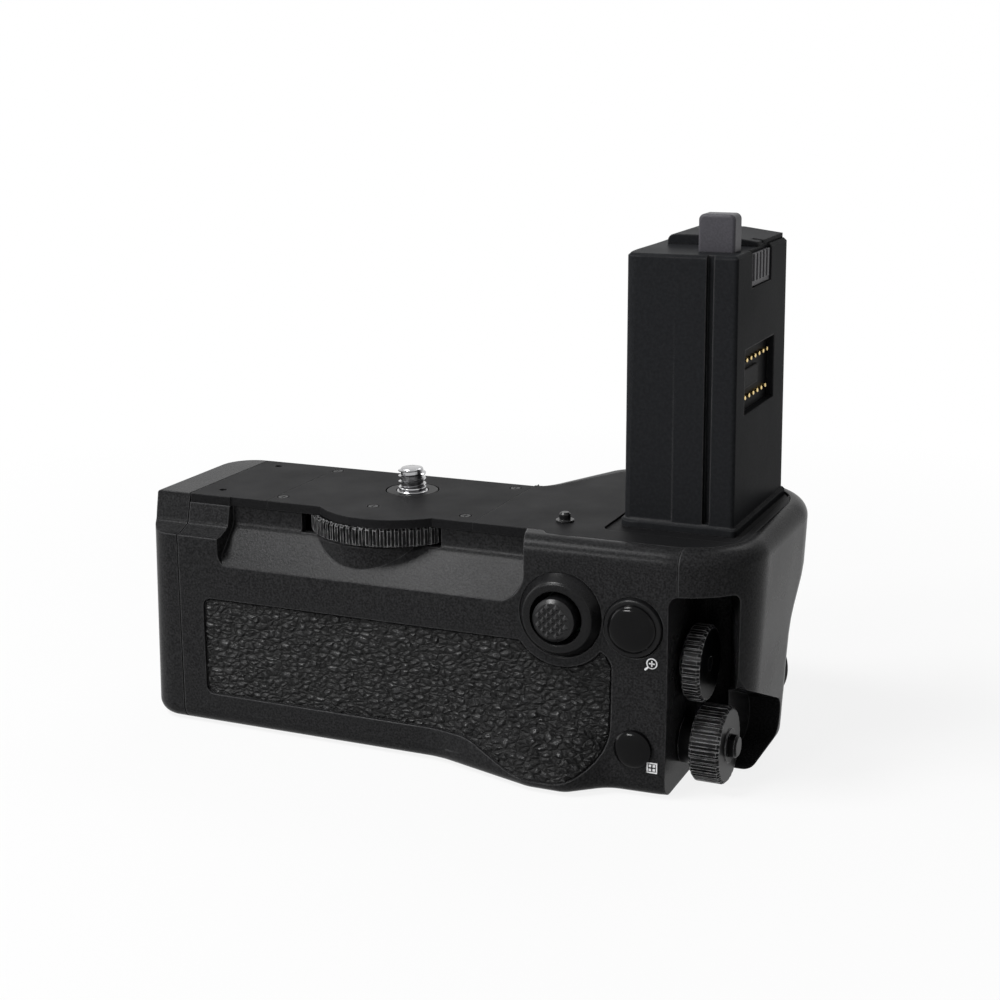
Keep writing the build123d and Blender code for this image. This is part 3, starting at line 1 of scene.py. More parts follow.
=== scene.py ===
import json
import math
import bpy
from mathutils import Matrix, Vector


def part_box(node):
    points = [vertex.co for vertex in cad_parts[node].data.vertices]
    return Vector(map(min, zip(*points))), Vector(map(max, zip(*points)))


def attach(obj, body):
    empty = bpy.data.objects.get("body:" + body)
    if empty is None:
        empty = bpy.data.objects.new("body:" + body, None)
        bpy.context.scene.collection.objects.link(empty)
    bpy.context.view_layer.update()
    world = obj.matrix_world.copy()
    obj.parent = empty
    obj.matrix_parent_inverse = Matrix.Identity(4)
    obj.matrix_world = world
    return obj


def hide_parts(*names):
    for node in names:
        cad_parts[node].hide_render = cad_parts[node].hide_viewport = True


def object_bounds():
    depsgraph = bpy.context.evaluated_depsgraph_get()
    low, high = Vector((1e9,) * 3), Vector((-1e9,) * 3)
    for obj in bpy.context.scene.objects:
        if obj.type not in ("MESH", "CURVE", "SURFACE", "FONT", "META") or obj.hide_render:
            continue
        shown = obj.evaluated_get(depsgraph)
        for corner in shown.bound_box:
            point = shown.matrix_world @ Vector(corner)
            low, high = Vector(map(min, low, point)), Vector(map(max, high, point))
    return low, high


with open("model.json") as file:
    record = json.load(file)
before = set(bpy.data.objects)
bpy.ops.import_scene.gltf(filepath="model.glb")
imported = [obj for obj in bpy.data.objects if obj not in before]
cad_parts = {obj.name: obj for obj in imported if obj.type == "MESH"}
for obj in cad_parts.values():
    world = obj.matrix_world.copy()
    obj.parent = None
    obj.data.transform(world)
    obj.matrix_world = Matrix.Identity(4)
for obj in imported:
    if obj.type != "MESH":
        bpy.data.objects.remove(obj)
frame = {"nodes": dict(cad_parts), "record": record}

cadBox = [list(corner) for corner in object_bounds()]
mm = 0.001


# Shader kit: sockets that take plain maths, and one method for every other node

edgeLean = (0.75, 0.98)         # cosines of the bevelled normal's lean on a full edge and on a flat


class Wire:
    def __init__(self, nodes, socket):
        self.nodes = nodes
        self.socket = socket

    def math(self, operation, first, second):
        return self.nodes.add("ShaderNodeMath", {"operation": operation}, {0: first, 1: second})

    def __add__(self, other):
        return self.math("ADD", self, other)

    def __radd__(self, other):
        return self.math("ADD", other, self)

    def __sub__(self, other):
        return self.math("SUBTRACT", self, other)

    def __rsub__(self, other):
        return self.math("SUBTRACT", other, self)

    def __mul__(self, other):
        return self.math("MULTIPLY", self, other)

    def __rmul__(self, other):
        return self.math("MULTIPLY", other, self)


class Nodes:
    def __init__(self, tree):
        self.tree = tree

    def add(self, kind, settings=None, values=None, out=0):
        node = self.tree.nodes.new(kind)
        for key, value in (settings or {}).items():
            setattr(node, key, value)
        for key, value in (values or {}).items():
            self.feed(node.inputs[key], value)
        return Wire(self, node.outputs[out])

    def feed(self, socket, value):
        if isinstance(value, Wire):
            self.tree.links.new(value.socket, socket)
        elif hasattr(value, "__len__"):
            # a colour may come without its alpha
            socket.default_value = (*value, 1)[:len(socket.default_value)]
        else:
            socket.default_value = value

    def between(self, value, low, high, fromLow=0.0, fromHigh=1.0):
        return self.add("ShaderNodeMapRange", {"clamp": True}, {
            "Value": value, "From Min": fromLow, "From Max": fromHigh, "To Min": low, "To Max": high})

    def seenDirectly(self):
        # 1 for camera, glossy and transmission rays, so metal and glass show the same background
        kinds = ("Is Camera Ray", "Is Glossy Ray", "Is Transmission Ray")
        camera, glossy, through = (self.add("ShaderNodeLightPath", out=kind) for kind in kinds)
        return camera.math("MAXIMUM", camera.math("MAXIMUM", camera, glossy), through)


class Look(Nodes):
    def __init__(self, name):
        self.material = bpy.data.materials.new(name)
        self.material.use_nodes = True
        super().__init__(self.material.node_tree)
        self.shader = self.tree.nodes["Principled BSDF"]

    def set(self, **values):
        for key, value in values.items():
            self.feed(self.shader.inputs[key.replace("_", " ")], value)

    def specular(self, level):
        self.shader.inputs["Specular IOR Level"].default_value = level

    def spot(self):
        return self.add("ShaderNodeTexCoord", out="Object")

    def stretched(self, scale):
        return self.add("ShaderNodeMapping", None, {"Vector": self.spot(), "Scale": scale})

    def noise(self, where, scale, detail=3, rough=0.5, out="Fac"):
        settings = {"Vector": where, "Scale": scale, "Detail": detail, "Roughness": rough}
        return self.add("ShaderNodeTexNoise", None, settings, out)

    def cells(self, where, scale, feature, random=1.0):
        settings = {"Vector": where, "Scale": scale, "Randomness": random}
        return self.add("ShaderNodeTexVoronoi", {"feature": feature}, settings)

    def blend(self, factor, first, second):
        return self.add("ShaderNodeMix", {"data_type": "RGBA"}, {0: factor, 6: first, 7: second}, 2)

    def shift(self, share, where, push):
        return self.add("ShaderNodeMix", {"data_type": "VECTOR"}, {0: share, 4: where, 5: push}, 1)

    def bump(self, height, strength, distance, rounding=0.0):
        values = {"Height": height, "Strength": strength, "Distance": distance}
        if rounding:
            values["Normal"] = self.add("ShaderNodeBevel", {"samples": 6}, {"Radius": rounding})
        return self.add("ShaderNodeBump", None, values)

    def edge(self, width):
        # 0 on flats and up to 1 on edges, by how far the bevelled normal leans from the face's own
        bevel = self.add("ShaderNodeBevel", {"samples": 4}, {"Radius": width})
        normal = self.add("ShaderNodeNewGeometry", out="Normal")
        lean = self.add("ShaderNodeVectorMath", {"operation": "DOT_PRODUCT"}, {0: bevel, 1: normal}, "Value")
        return self.between(lean, 1, 0, *edgeLean)


# Plastics: dark and light specks, two roughness levels, a fine grain and a painted highlight that makes the
# edges paler, in patches

# rim is the colour of a painted highlight along the edges; rimWidth is its width and also the rounding of the
# edges' shading
plastics = {
    "body": {
        "dark": (0.0070, 0.0070, 0.0073), "light": (0.0200, 0.0200, 0.0207), "rough": (0.24, 0.30),
        "grain": 2300, "depth": 0.05 * mm, "specular": 0.036, "rim": 0.060, "rimWidth": 0.50 * mm,
    },
    "plate": {
        "dark": (0.0035, 0.0035, 0.0038), "light": (0.0080, 0.0080, 0.0085), "rough": (0.48, 0.58),
        "grain": 3000, "depth": 0.04 * mm, "specular": 0.045, "rim": 0.030, "rimWidth": 0.35 * mm,
    },
    "tower": {
        "dark": (0.0105, 0.0110, 0.0120), "light": (0.0135, 0.0141, 0.0153), "rough": (0.30, 0.40),
        "grain": 1500, "depth": 0.02 * mm, "specular": 0.004, "rim": 0.050, "rimWidth": 0.55 * mm,
    },
    "inner": {
        "dark": (0.0030, 0.0030, 0.0033), "light": (0.0060, 0.0060, 0.0065), "rough": (0.50, 0.62),
        "grain": 1500, "depth": 0.02 * mm, "specular": 0.040, "rim": 0.015, "rimWidth": 0.25 * mm,
    },
    "washer": {
        "dark": (0.0030, 0.0030, 0.0033), "light": (0.0070, 0.0070, 0.0074), "rough": (0.30, 0.40),
        "grain": 1500, "depth": 0.02 * mm, "specular": 0.060, "rim": 0.050, "rimWidth": 0.30 * mm,
    },
    "screw": {
        "dark": (0.0060, 0.0060, 0.0063), "light": (0.0100, 0.0100, 0.0104), "rough": (0.30, 0.40),
        "grain": 1500, "depth": 0.02 * mm, "specular": 0.100, "rim": 0.060, "rimWidth": 0.20 * mm,
    },
    "pin": {
        "dark": (0.0040, 0.0040, 0.0043), "light": (0.0080, 0.0080, 0.0084), "rough": (0.24, 0.30),
        "grain": 1500, "depth": 0.02 * mm, "specular": 0.200, "rim": 0.060, "rimWidth": 0.25 * mm,
    },
    "battery": {
        "dark": (0.0300, 0.0300, 0.0330), "light": (0.0420, 0.0420, 0.0460), "rough": (0.45, 0.55),
        "grain": 1500, "depth": 0.02 * mm, "specular": 0.400, "rim": 0.070, "rimWidth": 0.30 * mm,
    },
    "tab": {
        "dark": (0.0300, 0.0290, 0.0340), "light": (0.0400, 0.0380, 0.0450), "rough": (0.42, 0.52),
        "grain": 2200, "depth": 0.03 * mm, "specular": 0.200, "rim": 0.080, "rimWidth": 0.40 * mm,
    },
    # nub: lighter than the dark rubber of the cap; the lighter colour is a painted highlight on the tops of
    # the nubs
    "nub": {
        "dark": (0.0120, 0.0120, 0.0126), "light": (0.0200, 0.0200, 0.0206), "rough": (0.28, 0.38),
        "grain": 2600, "depth": 0.02 * mm, "specular": 0.260, "rim": 0.090, "rimWidth": 0.18 * mm,
    },
    "collar": {
        "dark": (0.0030, 0.0030, 0.0033), "light": (0.0060, 0.0060, 0.0064), "rough": (0.24, 0.31),
        "grain": 2600, "depth": 0.03 * mm, "specular": 0.140, "rim": 0.025, "rimWidth": 0.45 * mm,
    },
}

plasticGrainAndEdgeHighlight = {
    "speck": (0.35, 0.68),      # span of the fine noise over which dark turns to light
    "broad": 40,                # grains to one patch of roughness
    "broadSpan": (0.3, 0.7),
    "rub": 320,                 # patches per metre that break up the painted edge highlight
    "edgeHighlightPatchSpan": (0.3, 0.6),
    "edgeHighlightPatchLeast": 0.45,
    "edgeHighlightGloss": 0.08,          # roughness taken away along the painted edge highlight
    "edgeHighlightTint": 1.02,            # blue of the painted edge highlight, to its red and green
    "bump": 0.6,
}


def plasticLook(name, finish):
    look = Look(name)
    where = look.spot()
    fine = look.noise(where, finish["grain"], 2, 0.6)
    broad = look.noise(where, finish["grain"] / plasticGrainAndEdgeHighlight["broad"], 4)
    speck = look.between(fine, 0, 1, *plasticGrainAndEdgeHighlight["speck"])
    patches = look.between(look.noise(where, plasticGrainAndEdgeHighlight["rub"]), plasticGrainAndEdgeHighlight["edgeHighlightPatchLeast"], 1,
                           *plasticGrainAndEdgeHighlight["edgeHighlightPatchSpan"])
    # painted highlight: the edges are made paler in colour, broken into patches
    paintedEdgeHighlightMask = look.edge(finish["rimWidth"]) * patches
    paintedEdgeHighlight = (finish["rim"], finish["rim"], finish["rim"] * plasticGrainAndEdgeHighlight["edgeHighlightTint"])
    flat = look.blend(speck, finish["dark"], finish["light"])
    rough = look.between(broad, *finish["rough"], *plasticGrainAndEdgeHighlight["broadSpan"])
    look.set(Base_Color=look.blend(paintedEdgeHighlightMask, flat, paintedEdgeHighlight),
             Roughness=rough - paintedEdgeHighlightMask * plasticGrainAndEdgeHighlight["edgeHighlightGloss"],
             Normal=look.bump(fine, plasticGrainAndEdgeHighlight["bump"], finish["depth"], finish["rimWidth"]))
    look.specular(finish["specular"])
    return look.material


# Ribbed dials: near black, with a painted highlight that makes the tips of the ribs bright, in patches

# the bright colour below is a painted highlight on the tips of the ribs
dialFinish = {
    "dark": (0.0026, 0.0026, 0.0029), "paintedEdgeHighlight": (0.42, 0.42, 0.425), "rough": (0.30, 0.22),
    "tip": 0.32 * mm, "patch": 600, "patchSpan": (0.35, 0.6), "patchLeast": 0.2,
    "grain": 2200, "bump": 0.4, "depth": 0.03 * mm, "rounding": 0.25 * mm, "specular": 0.07,
}


def dialLook():
    look = Look("dial")
    where = look.spot()
    fine = look.noise(where, dialFinish["grain"], 2)
    patches = look.between(look.noise(where, dialFinish["patch"]), dialFinish["patchLeast"], 1,
                           *dialFinish["patchSpan"])
    # painted highlight on the rib tips, broken into patches
    paintedEdgeHighlight = look.edge(dialFinish["tip"]) * patches
    look.set(Base_Color=look.blend(paintedEdgeHighlight, dialFinish["dark"], dialFinish["paintedEdgeHighlight"]),
             Roughness=look.between(paintedEdgeHighlight, *dialFinish["rough"]),
             Normal=look.bump(fine, dialFinish["bump"], dialFinish["depth"], dialFinish["rounding"]))
    look.specular(dialFinish["specular"])
    return look.material


# Glossy buttons with a faint smear

glossFinish = {
    "dark": (0.0012, 0.0012, 0.0014), "light": (0.0030, 0.0030, 0.0032),
    "rough": (0.08, 0.16), "smear": 260, "smearSpan": (0.35, 0.7), "specular": 0.10,
}


def glossLook():
    look = Look("gloss")
    smear = look.noise(look.spot(), glossFinish["smear"], 4)
    look.set(Base_Color=look.blend(smear, glossFinish["dark"], glossFinish["light"]),
             Roughness=look.between(smear, *glossFinish["rough"], *glossFinish["smearSpan"]))
    look.specular(glossFinish["specular"])
    return look.material


rubberFinish = {
    "dark": (0.0035, 0.0035, 0.0038), "light": (0.0085, 0.0085, 0.0090),
    "rough": (0.26, 0.40), "roughSpan": (0.3, 0.7), "grain": 3200,
    "bump": 0.4, "depth": 0.04 * mm, "rounding": 0.2 * mm, "specular": 0.22,
}


def rubberLook():
    look = Look("rubber")
    fine = look.noise(look.spot(), rubberFinish["grain"], 2)
    look.set(Base_Color=look.blend(fine, rubberFinish["dark"], rubberFinish["light"]),
             Roughness=look.between(fine, *rubberFinish["rough"], *rubberFinish["roughSpan"]),
             Normal=look.bump(fine, rubberFinish["bump"], rubberFinish["depth"], rubberFinish["rounding"]))
    look.specular(rubberFinish["specular"])
    return look.material


# Leather: pebbles parted by creases, in groups parted by folds

leather = {
    "stretch": (0.78, 1.0, 1.22),
    "pebble": 640.0,            # pebbles per metre
    "pebbleCrease": 0.36,       # share of a pebble that its crease rounds off
    "fold": 170.0,              # folds per metre
    "foldCrease": 0.09,
    "warp": 300, "warpShare": 0.0018,
    "lump": 520, "fine": 3000,
    "heights": (0.8, 0.3, 0.5, 0.06),       # of pebbles, folds, lumps and fine grain
    "bump": 1.0, "depth": 0.85 * mm,
    "dark": (0.0007, 0.0007, 0.0008), "light": (0.0170, 0.0170, 0.0176), "shadeLeast": 0.2,
    "rough": (0.60, 0.27), "roughSpan": (0.1, 0.9),
    "specular": 0.22,
}


def leatherLook():
    look = Look("skin")
    where = look.stretched(leather["stretch"])
    warp = look.noise(where, leather["warp"], out="Color")
    shifted = look.shift(leather["warpShare"], where, warp)
    pebble = look.between(look.cells(shifted, leather["pebble"], "DISTANCE_TO_EDGE"), 0, 1,
                          0, leather["pebbleCrease"])
    fold = look.between(look.cells(shifted, leather["fold"], "DISTANCE_TO_EDGE"), 0, 1,
                        0, leather["foldCrease"])
    parts = (pebble, fold, look.noise(where, leather["lump"], 2), look.noise(where, leather["fine"], 2))
    height = sum(part * share for part, share in zip(parts, leather["heights"]))
    top = pebble * fold
    shade = look.between(top, 0, 1, leather["shadeLeast"], 1)
    look.set(Base_Color=look.blend(shade, leather["dark"], leather["light"]),
             Roughness=look.between(top, *leather["rough"], *leather["roughSpan"]),
             Normal=look.bump(height, leather["bump"], leather["depth"]))
    look.specular(leather["specular"])
    return look.material


metals = {
    "chrome": {"colour": (0.46, 0.46, 0.47), "rough": 0.18, "streak": 900},
    "gold": {"colour": (0.80, 0.60, 0.26), "rough": 0.22, "streak": 1500},
}

turnedLines = {
    "stretch": (1, 1, 14), "dark": 0.8, "rough": (0.75, 1.25), "span": (0.3, 0.7),
    "bump": 0.15, "depth": 0.02 * mm,
}


def metalLook(name, metal):
    look = Look(name)
    lines = look.noise(look.stretched(turnedLines["stretch"]), metal["streak"])
    low, high = (metal["rough"] * share for share in turnedLines["rough"])
    dark = [channel * turnedLines["dark"] for channel in metal["colour"]]
    look.set(Base_Color=look.blend(lines, dark, metal["colour"]), Metallic=1.0,
             Roughness=look.between(lines, low, high, *turnedLines["span"]),
             Normal=look.bump(lines, turnedLines["bump"], turnedLines["depth"]))
    return look.material


boardFinish = {
    "track": 420, "trackRandom": 0.25, "trackSpan": (0.3, 0.5),
    "copper": (0.012, 0.070, 0.035), "mask": (0.008, 0.042, 0.022),
    "grain": 900, "rough": (0.30, 0.42),
}


def boardLook():
    look = Look("board")
    where = look.spot()
    tracks = look.cells(where, boardFinish["track"], "F1", boardFinish["trackRandom"])
    bare = look.between(tracks, 0, 1, *boardFinish["trackSpan"])
    look.set(Base_Color=look.blend(bare, boardFinish["copper"], boardFinish["mask"]),
             Roughness=look.between(look.noise(where, boardFinish["grain"], 2), *boardFinish["rough"]))
    return look.material


inkFinish = {"dark": (0.52, 0.52, 0.53), "light": (0.78, 0.78, 0.79), "grain": 5200, "rough": 0.55}


def inkLook():
    look = Look("ink")
    thin = look.noise(look.spot(), inkFinish["grain"], 2)
    look.set(Base_Color=look.blend(thin, inkFinish["dark"], inkFinish["light"]), Roughness=inkFinish["rough"])
    return look.material


looks = {name: plasticLook(name, finish) for name, finish in plastics.items()}
looks |= {name: metalLook(name, metal) for name, metal in metals.items()}
looks |= {"dial": dialLook(), "gloss": glossLook(), "rubber": rubberLook(), "skin": leatherLook()}
looks |= {"board": boardLook(), "ink": inkLook()}
for part in frame["record"]["subparts"]:
    node = frame["nodes"][part["node"]]
    node.data.materials.clear()
    node.data.materials.append(looks[part["material_slot"]])
print("finishes on the CAD nodes")


# Hand tools for new pieces

upright = (math.radians(90), 0, 0)      # turns a shape made along Z to look along Y
mergeGap = 0.004 * mm


def deselectAll():
    if bpy.context.object and bpy.context.object.mode != "OBJECT":
        bpy.ops.object.mode_set(mode="OBJECT")
    bpy.ops.object.select_all(action="DESELECT")


def pick(active, *others):
    deselectAll()
    for piece in (active, *others):
        piece.select_set(True)
    bpy.context.view_layer.objects.active = active


def freeze(piece, name, look, body):
    # puts the place into the mesh, names the piece, gives it its look and hangs it on its body's empty
    pick(piece)
    bpy.ops.object.transform_apply(location=True, rotation=True, scale=True)
    piece.name = name
    piece.data.name = name
    piece.data.materials.clear()
    piece.data.materials.append(look)
    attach(piece, body)


def useModifier(piece, kind, **settings):
    pick(piece)
    modifier = piece.modifiers.new(kind.title(), kind)
    for key, value in settings.items():
        setattr(modifier, key, value)
    bpy.ops.object.modifier_apply(modifier=modifier.name)


def copyNode(node, name):
    # a merged copy of a CAD node's mesh, free to be changed
    piece = bpy.data.objects.new(name, frame["nodes"][node].data.copy())
    bpy.context.collection.objects.link(piece)
    pick(piece)
    bpy.ops.object.mode_set(mode="EDIT")
    bpy.ops.mesh.select_all(action="SELECT")
    bpy.ops.mesh.remove_doubles(threshold=mergeGap)
    bpy.ops.object.mode_set(mode="OBJECT")
    return piece


# Camera at the photo's angle, fitted to the object's known sizes

shot = {
    "turn": 23.97, "rise": 14.58, "roll": -0.71,        # degrees
    "place": (0.17327, -0.34127, 0.09673),
    "lens": 62.98, "film": 36, "near": 0.01,
}


def setCamera():
    turn, rise, roll = (math.radians(shot[key]) for key in ("turn", "rise", "roll"))
    back = Vector((math.sin(turn) * math.cos(rise), -math.cos(turn) * math.cos(rise), math.sin(rise)))
    right = Vector((math.cos(turn), math.sin(turn), 0))
    up = back.cross(right)
    across = right * math.cos(roll) + up * math.sin(roll)
    upward = up * math.cos(roll) - right * math.sin(roll)
    data = bpy.data.cameras.new("photoCamera")
    data.lens = shot["lens"]
    data.sensor_width = shot["film"]
    data.clip_start = shot["near"]
    camera = bpy.data.objects.new("photoCamera", data)
    bpy.context.collection.objects.link(camera)
    facing = Matrix((across, upward, back)).transposed().to_4x4()
    camera.matrix_world = Matrix.Translation(shot["place"]) @ facing
    bpy.context.scene.camera = camera


setCamera()
print("camera")


# Stage: pale floor, soft boxes and a white room

stage = {
    "floorZ": cadBox[0][2], "floorSize": 12, "floorColour": (0.55, 0.55, 0.55),
    "floorRough": 0.9, "floorSpecular": 0.1,
    "roomStrength": 0.22,       # of the light that the white room gives
    "white": 1.0,               # how bright the camera sees the room
    "shadowShare": 0.15,        # how much of the floor's own shading the camera sees near the object
    "fade": (0.10, 0.32),       # metres from the middle over which that goes to none
    "lamps": {
        # name: place, target, width, height, watts
        "keyBox": ((-0.40, -0.30, 0.86), (0, 0, 0), 0.34, 0.30, 11.0),
        "frontBox": ((-0.42, -0.92, 0.47), (0, 0, -0.01), 0.30, 0.14, 7.0),
        "leftBox": ((-0.95, -0.35, 0.30), (0, 0, -0.01), 0.30, 0.7, 2.6),
        "rightBox": ((0.95, -0.30, 0.32), (0.05, 0, 0), 0.25, 0.5, 0.3),
        "rearBox": ((0.15, 0.80, 0.85), (0.03, 0, 0), 0.7, 0.25, 2.6),
    },
}


def setFloor():
    deselectAll()
    bpy.ops.mesh.primitive_plane_add(size=stage["floorSize"], location=(0, 0, stage["floorZ"]))
    floor = bpy.context.object
    floor.name = "floor"
    look = Look("floor")
    look.set(Base_Color=stage["floorColour"], Roughness=stage["floorRough"])
    look.specular(stage["floorSpecular"])
    far = look.add("ShaderNodeVectorMath", {"operation": "LENGTH"}, {0: look.spot()}, "Value")
    fade = look.between(far, 1 - stage["shadowShare"], 1, *stage["fade"])
    glow = look.add("ShaderNodeEmission", None, {"Color": (1, 1, 1), "Strength": stage["white"]})
    shaded = Wire(look, look.shader.outputs[0])
    mix = look.add("ShaderNodeMixShader", None, {0: look.seenDirectly() * fade, 1: shaded, 2: glow})
    look.feed(look.tree.nodes["Material Output"].inputs["Surface"], mix)
    floor.data.materials.append(look.material)


def setRoom():
    world = bpy.data.worlds.new("room")
    bpy.context.scene.world = world
    world.use_nodes = True
    nodes = Nodes(world.node_tree)
    strength = nodes.between(nodes.seenDirectly(), stage["roomStrength"], stage["white"])
    shade = world.node_tree.nodes["Background"]
    nodes.feed(shade.inputs["Color"], (1, 1, 1))
    nodes.feed(shade.inputs["Strength"], strength)


def setLamps():
    for name, (place, target, width, height, watts) in stage["lamps"].items():
        data = bpy.data.lights.new(name, "AREA")
        data.shape = "RECTANGLE"
        data.size, data.size_y, data.energy = width, height, watts
        lamp = bpy.data.objects.new(name, data)
        lamp.location = place
        lamp.rotation_euler = (Vector(target) - Vector(place)).to_track_quat("-Z", "Y").to_euler()
        bpy.context.collection.objects.link(lamp)


setFloor()
setRoom()
setLamps()
bpy.context.scene.view_settings.view_transform = "Standard"
print("stage")


# Threaded stud: a helical rib round a core, over the lower half of the CAD screw

stud = {
    "radius": 3.12 * mm, "rootRadius": 2.55 * mm, "top": 5.2 * mm, "sides": 64,
    "pitch": 1.27 * mm, "turns": 5, "steps": 40,
    "ribShare": 0.82,           # of the pitch, at the foot of the rib
    "tipShare": 0.18,           # of that, at its tip
    "ribEnd": 0.25 * mm,        # below the top
    "coreBevel": 0.4 * mm,
    "foot": 0.9 * mm, "footBevel": 0.2 * mm,
    "smooth": 35,               # degrees
}


def cutLevel(piece, z, keepLow):
    pick(piece)
    bpy.ops.object.mode_set(mode="EDIT")
    bpy.ops.mesh.select_all(action="SELECT")
    bpy.ops.mesh.bisect(plane_co=(0, 0, z), plane_no=(0, 0, 1), clear_outer=keepLow,
                        clear_inner=not keepLow, use_fill=True)
    bpy.ops.object.mode_set(mode="OBJECT")


def makeRib():
    deselectAll()
    bpy.ops.mesh.primitive_plane_add(size=1, location=(stud["rootRadius"], 0, -stud["pitch"]),
                                     rotation=upright)
    rib = bpy.context.object
    reach = (stud["radius"] - stud["rootRadius"]) * 2
    rib.scale = (reach, stud["pitch"] * stud["ribShare"], 1)
    bpy.ops.object.transform_apply(location=True, rotation=True, scale=True)
    bpy.ops.object.mode_set(mode="EDIT")
    bpy.ops.mesh.select_mode(type="VERT")
    bpy.ops.mesh.select_all(action="DESELECT")
    bpy.ops.object.mode_set(mode="OBJECT")
    for vertex in rib.data.vertices:
        vertex.select = vertex.co.x > stud["rootRadius"]
    bpy.ops.object.mode_set(mode="EDIT")
    bpy.ops.transform.resize(value=(1, 1, stud["tipShare"]))
    bpy.ops.mesh.select_all(action="SELECT")
    bpy.ops.mesh.delete(type="ONLY_FACE")
    bpy.ops.object.mode_set(mode="OBJECT")
    useModifier(rib, "SCREW", axis="Z", screw_offset=stud["pitch"], iterations=stud["turns"],
                steps=stud["steps"], render_steps=stud["steps"], use_normal_calculate=True)
    cutLevel(rib, stud["top"] - stud["ribEnd"], keepLow=True)
    cutLevel(rib, stud["foot"], keepLow=False)
    return rib


def studDrum(radius, high, bevel, segments):
    deselectAll()
    bpy.ops.mesh.primitive_cylinder_add(vertices=stud["sides"], radius=radius, depth=high,
                                        location=(0, 0, high / 2))
    drum = bpy.context.object
    useModifier(drum, "BEVEL", width=bevel, segments=segments, limit_method="ANGLE")
    return drum


def makeStud():
    lower = copyNode("fixing_screw", "lowerScrew")
    cutLevel(lower, 0, keepLow=True)
    rib = makeRib()
    core = studDrum(stud["rootRadius"], stud["top"], stud["coreBevel"], 3)
    foot = studDrum(stud["radius"], stud["foot"], stud["footBevel"], 2)
    pick(core, lower, rib, foot)
    bpy.ops.object.join()
    bpy.ops.object.shade_smooth_by_angle(angle=math.radians(stud["smooth"]))
    freeze(core, "threadedStud", looks["chrome"], "fixing_screw")
    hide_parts("fixing_screw")


makeStud()
print("stud")


# Grip nubs on the thumb stick, in a diagonal grid

nubs = {
    "pitch": 1.36 * mm, "size": 1.12 * mm, "top": 0.45 * mm, "high": 0.6 * mm,
    "sink": 0.05 * mm, "bevel": 0.07 * mm,
    "reach": 3.3 * mm,          # from the stick's axis to the last nub's
}


def makeNubs():
    low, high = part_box("stick_cap")
    centre = (low + high) / 2
    deselectAll()
    bpy.ops.mesh.primitive_cone_add(vertices=4, radius1=nubs["size"] / math.sqrt(2),
                                    radius2=nubs["top"] / math.sqrt(2), depth=nubs["high"],
                                    rotation=upright)
    first = bpy.context.object
    bpy.ops.object.transform_apply(rotation=True)
    useModifier(first, "BEVEL", width=nubs["bevel"], segments=2, limit_method="ANGLE")
    step = nubs["pitch"] * math.sqrt(0.5)
    level = low.y - nubs["high"] / 2 + nubs["sink"]
    count = int(nubs["reach"] / nubs["pitch"]) + 2
    copies = []
    for row in range(-count, count + 1):
        for column in range(-count, count + 1):
            across = (row + column) * step
            up = (row - column) * step
            if math.hypot(across, up) > nubs["reach"]:
                continue
            copy = bpy.data.objects.new("nub", first.data.copy())
            copy.location = (centre.x + across, level, centre.z + up)
            bpy.context.collection.objects.link(copy)
            copies.append(copy)
    bpy.data.objects.remove(first)
    pick(*copies)
    bpy.ops.object.join()
    # the nubs take the lighter nub finish, a painted highlight on their tops
    freeze(copies[0], "stickNubs", looks["nub"], "stick_head")


makeNubs()
print("stick nubs")


# Domed caps of the two rear push buttons

domes = {
    # node: height of the dome, rings from the rim to the middle
    "focus_button": (1.2 * mm, 9),
    "hold_button": (0.8 * mm, 8),
}

domeSides = 64
domeMiddle = 0.4                # radius of the flat in the middle, in rings
domeSmooth = 50                 # degrees
facingRear = -0.9               # Y of the normal, at most, of a face that looks to the rear


def makeDome(node, high, rings):
    low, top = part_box(node)
    radius = (top.x - low.x) / 2
    width = radius / (rings + domeMiddle)
    deselectAll()
    bpy.ops.mesh.primitive_cylinder_add(vertices=domeSides, radius=radius, depth=top.y - low.y,
                                        location=(low + top) / 2, rotation=upright)
    piece = bpy.context.object
    bpy.ops.object.transform_apply(location=True, rotation=True, scale=True)
    bpy.ops.object.mode_set(mode="EDIT")
    bpy.ops.mesh.select_mode(type="FACE")
    bpy.ops.mesh.select_all(action="DESELECT")
    bpy.ops.object.mode_set(mode="OBJECT")
    for polygon in piece.data.polygons:
        polygon.select = polygon.normal.y < facingRear
    bpy.ops.object.mode_set(mode="EDIT")
    reached = 0
    for ring in range(1, rings + 1):
        share = ring / (rings + domeMiddle)
        rise = high * math.sqrt(1 - (1 - share) ** 2)
        bpy.ops.mesh.inset(thickness=width, depth=0)
        bpy.ops.transform.translate(value=(0, reached - rise, 0))
        reached = rise
    bpy.ops.object.mode_set(mode="OBJECT")
    bpy.ops.object.shade_smooth_by_angle(angle=math.radians(domeSmooth))
    freeze(piece, node + "Dome", looks["gloss"], node)
    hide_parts(node)


for node, (high, rings) in domes.items():
    makeDome(node, high, rings)
print("button domes")


# Leather skins: the CAD panels with their grain raised in the mesh

grain = {
    "cells": {"rear_skin": 0.32 * mm, "front_skin": 0.34 * mm},     # node: cell of the new mesh
    "pebble": 1.45 * mm, "pebbleForce": 1.6,
    "pebbleRise": 0.60 * mm, "pebbleLevel": 0.75,   # the level that stays on the panel's face
    "swell": 2.2 * mm, "swellRise": 0.25 * mm, "swellLevel": 0.5,
}


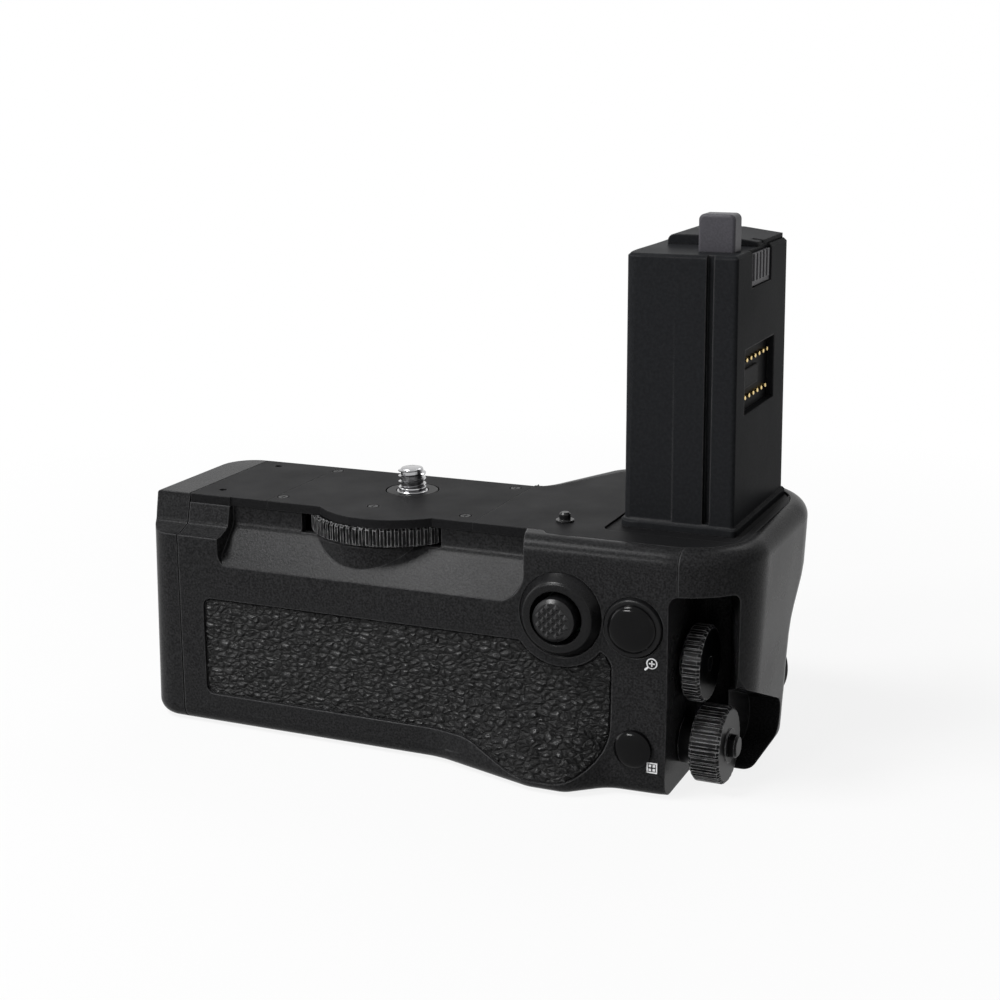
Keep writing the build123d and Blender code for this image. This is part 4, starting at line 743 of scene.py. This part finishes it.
def makeSkin(node, cell):
    piece = copyNode(node, node + "Leather")
    useModifier(piece, "REMESH", mode="VOXEL", voxel_size=cell)
    stretch = Matrix.Diagonal((*leather["stretch"], 1))
    piece.data.transform(stretch)
    pebbles = bpy.data.textures.new(node + "Pebbles", "VORONOI")
    pebbles.noise_scale = grain["pebble"]
    pebbles.weight_1, pebbles.weight_2 = -1, 1      # distance to the nearest crease
    pebbles.noise_intensity = grain["pebbleForce"]
    useModifier(piece, "DISPLACE", texture=pebbles, texture_coords="LOCAL",
                strength=grain["pebbleRise"], mid_level=grain["pebbleLevel"])
    piece.data.transform(stretch.inverted())
    swell = bpy.data.textures.new(node + "Swell", "CLOUDS")
    swell.noise_scale = grain["swell"]
    useModifier(piece, "DISPLACE", texture=swell, texture_coords="LOCAL",
                strength=grain["swellRise"], mid_level=grain["swellLevel"])
    pick(piece)
    bpy.ops.object.shade_smooth()
    freeze(piece, node + "Leather", looks["skin"], "housing")
    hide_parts(node)


for node, cell in grain["cells"].items():
    makeSkin(node, cell)
print("leather")


# Printed signs beside the rear buttons: a magnifier with a plus, and a framed grid

signs = {
    "thick": 0.05 * mm,         # how far the signs stand out of the cover
    "line": 0.26 * mm,
    "magnifier": (66.5 * mm, -23.4 * mm, 1.05 * mm),        # x, z and radius
    "plus": 1.2,                # its length, in radii
    "handle": (0.95, 1.5, 1.05),        # length in radii, width in lines, offset in radii
    "grid": (67.1 * mm, -45.3 * mm, 0.98 * mm),             # x, z and half width
    "cell": (0.42, 0.55),       # place and size of a cell, in half widths
    "ringSteps": (40, 4),
}

rayStart = -80 * mm             # outside the grip, on its rear side


def rearFace(x, z):
    # Y of the rear cover's outer face, from the CAD mesh
    cover = frame["nodes"]["rear_cover"]
    return cover.ray_cast(Vector((x, rayStart, z)), Vector((0, 1, 0)))[1].y


def bar(x, z, wide, tall, turn=0):
    deselectAll()
    bpy.ops.mesh.primitive_cube_add(size=1, location=(x, rearFace(x, z), z),
                                    rotation=(0, math.radians(turn), 0))
    piece = bpy.context.object
    piece.scale = (wide, signs["thick"] * 2, tall)
    bpy.ops.object.transform_apply(rotation=True, scale=True)
    return piece


def ringMark(x, z, radius):
    line = signs["line"]
    around, across = signs["ringSteps"]
    deselectAll()
    bpy.ops.mesh.primitive_torus_add(major_segments=around, minor_segments=across, major_radius=radius,
                                     minor_radius=line / 2, location=(x, rearFace(x, z), z),
                                     rotation=upright)
    piece = bpy.context.object
    piece.scale = (1, 1, signs["thick"] * 2 / line)
    bpy.ops.object.transform_apply(location=True, rotation=True, scale=True)
    return piece


def finishSign(pieces, name):
    pick(*pieces)
    bpy.ops.object.join()
    freeze(pieces[0], name, looks["ink"], "housing")


def makeMagnifier():
    x, z, radius = signs["magnifier"]
    line = signs["line"]
    plus = radius * signs["plus"]
    long, wide, reach = signs["handle"]
    finishSign([
        ringMark(x, z, radius),
        bar(x, z, plus, line),
        bar(x, z, line, plus),
        bar(x - radius * reach, z - radius * reach, radius * long, line * wide, -45),
    ], "magnifierSign")


def makeGridSign():
    x, z, half = signs["grid"]
    line = signs["line"]
    place, size = (half * share for share in signs["cell"])
    pieces = []
    for side in (-1, 1):
        pieces.append(bar(x + side * half, z, line, half * 2 + line))
        pieces.append(bar(x, z + side * half, half * 2 + line, line))
        for level in (-1, 1):
            pieces.append(bar(x + side * place, z + level * place, size, size))
    finishSign(pieces, "gridSign")


makeMagnifier()
makeGridSign()
print("signs")
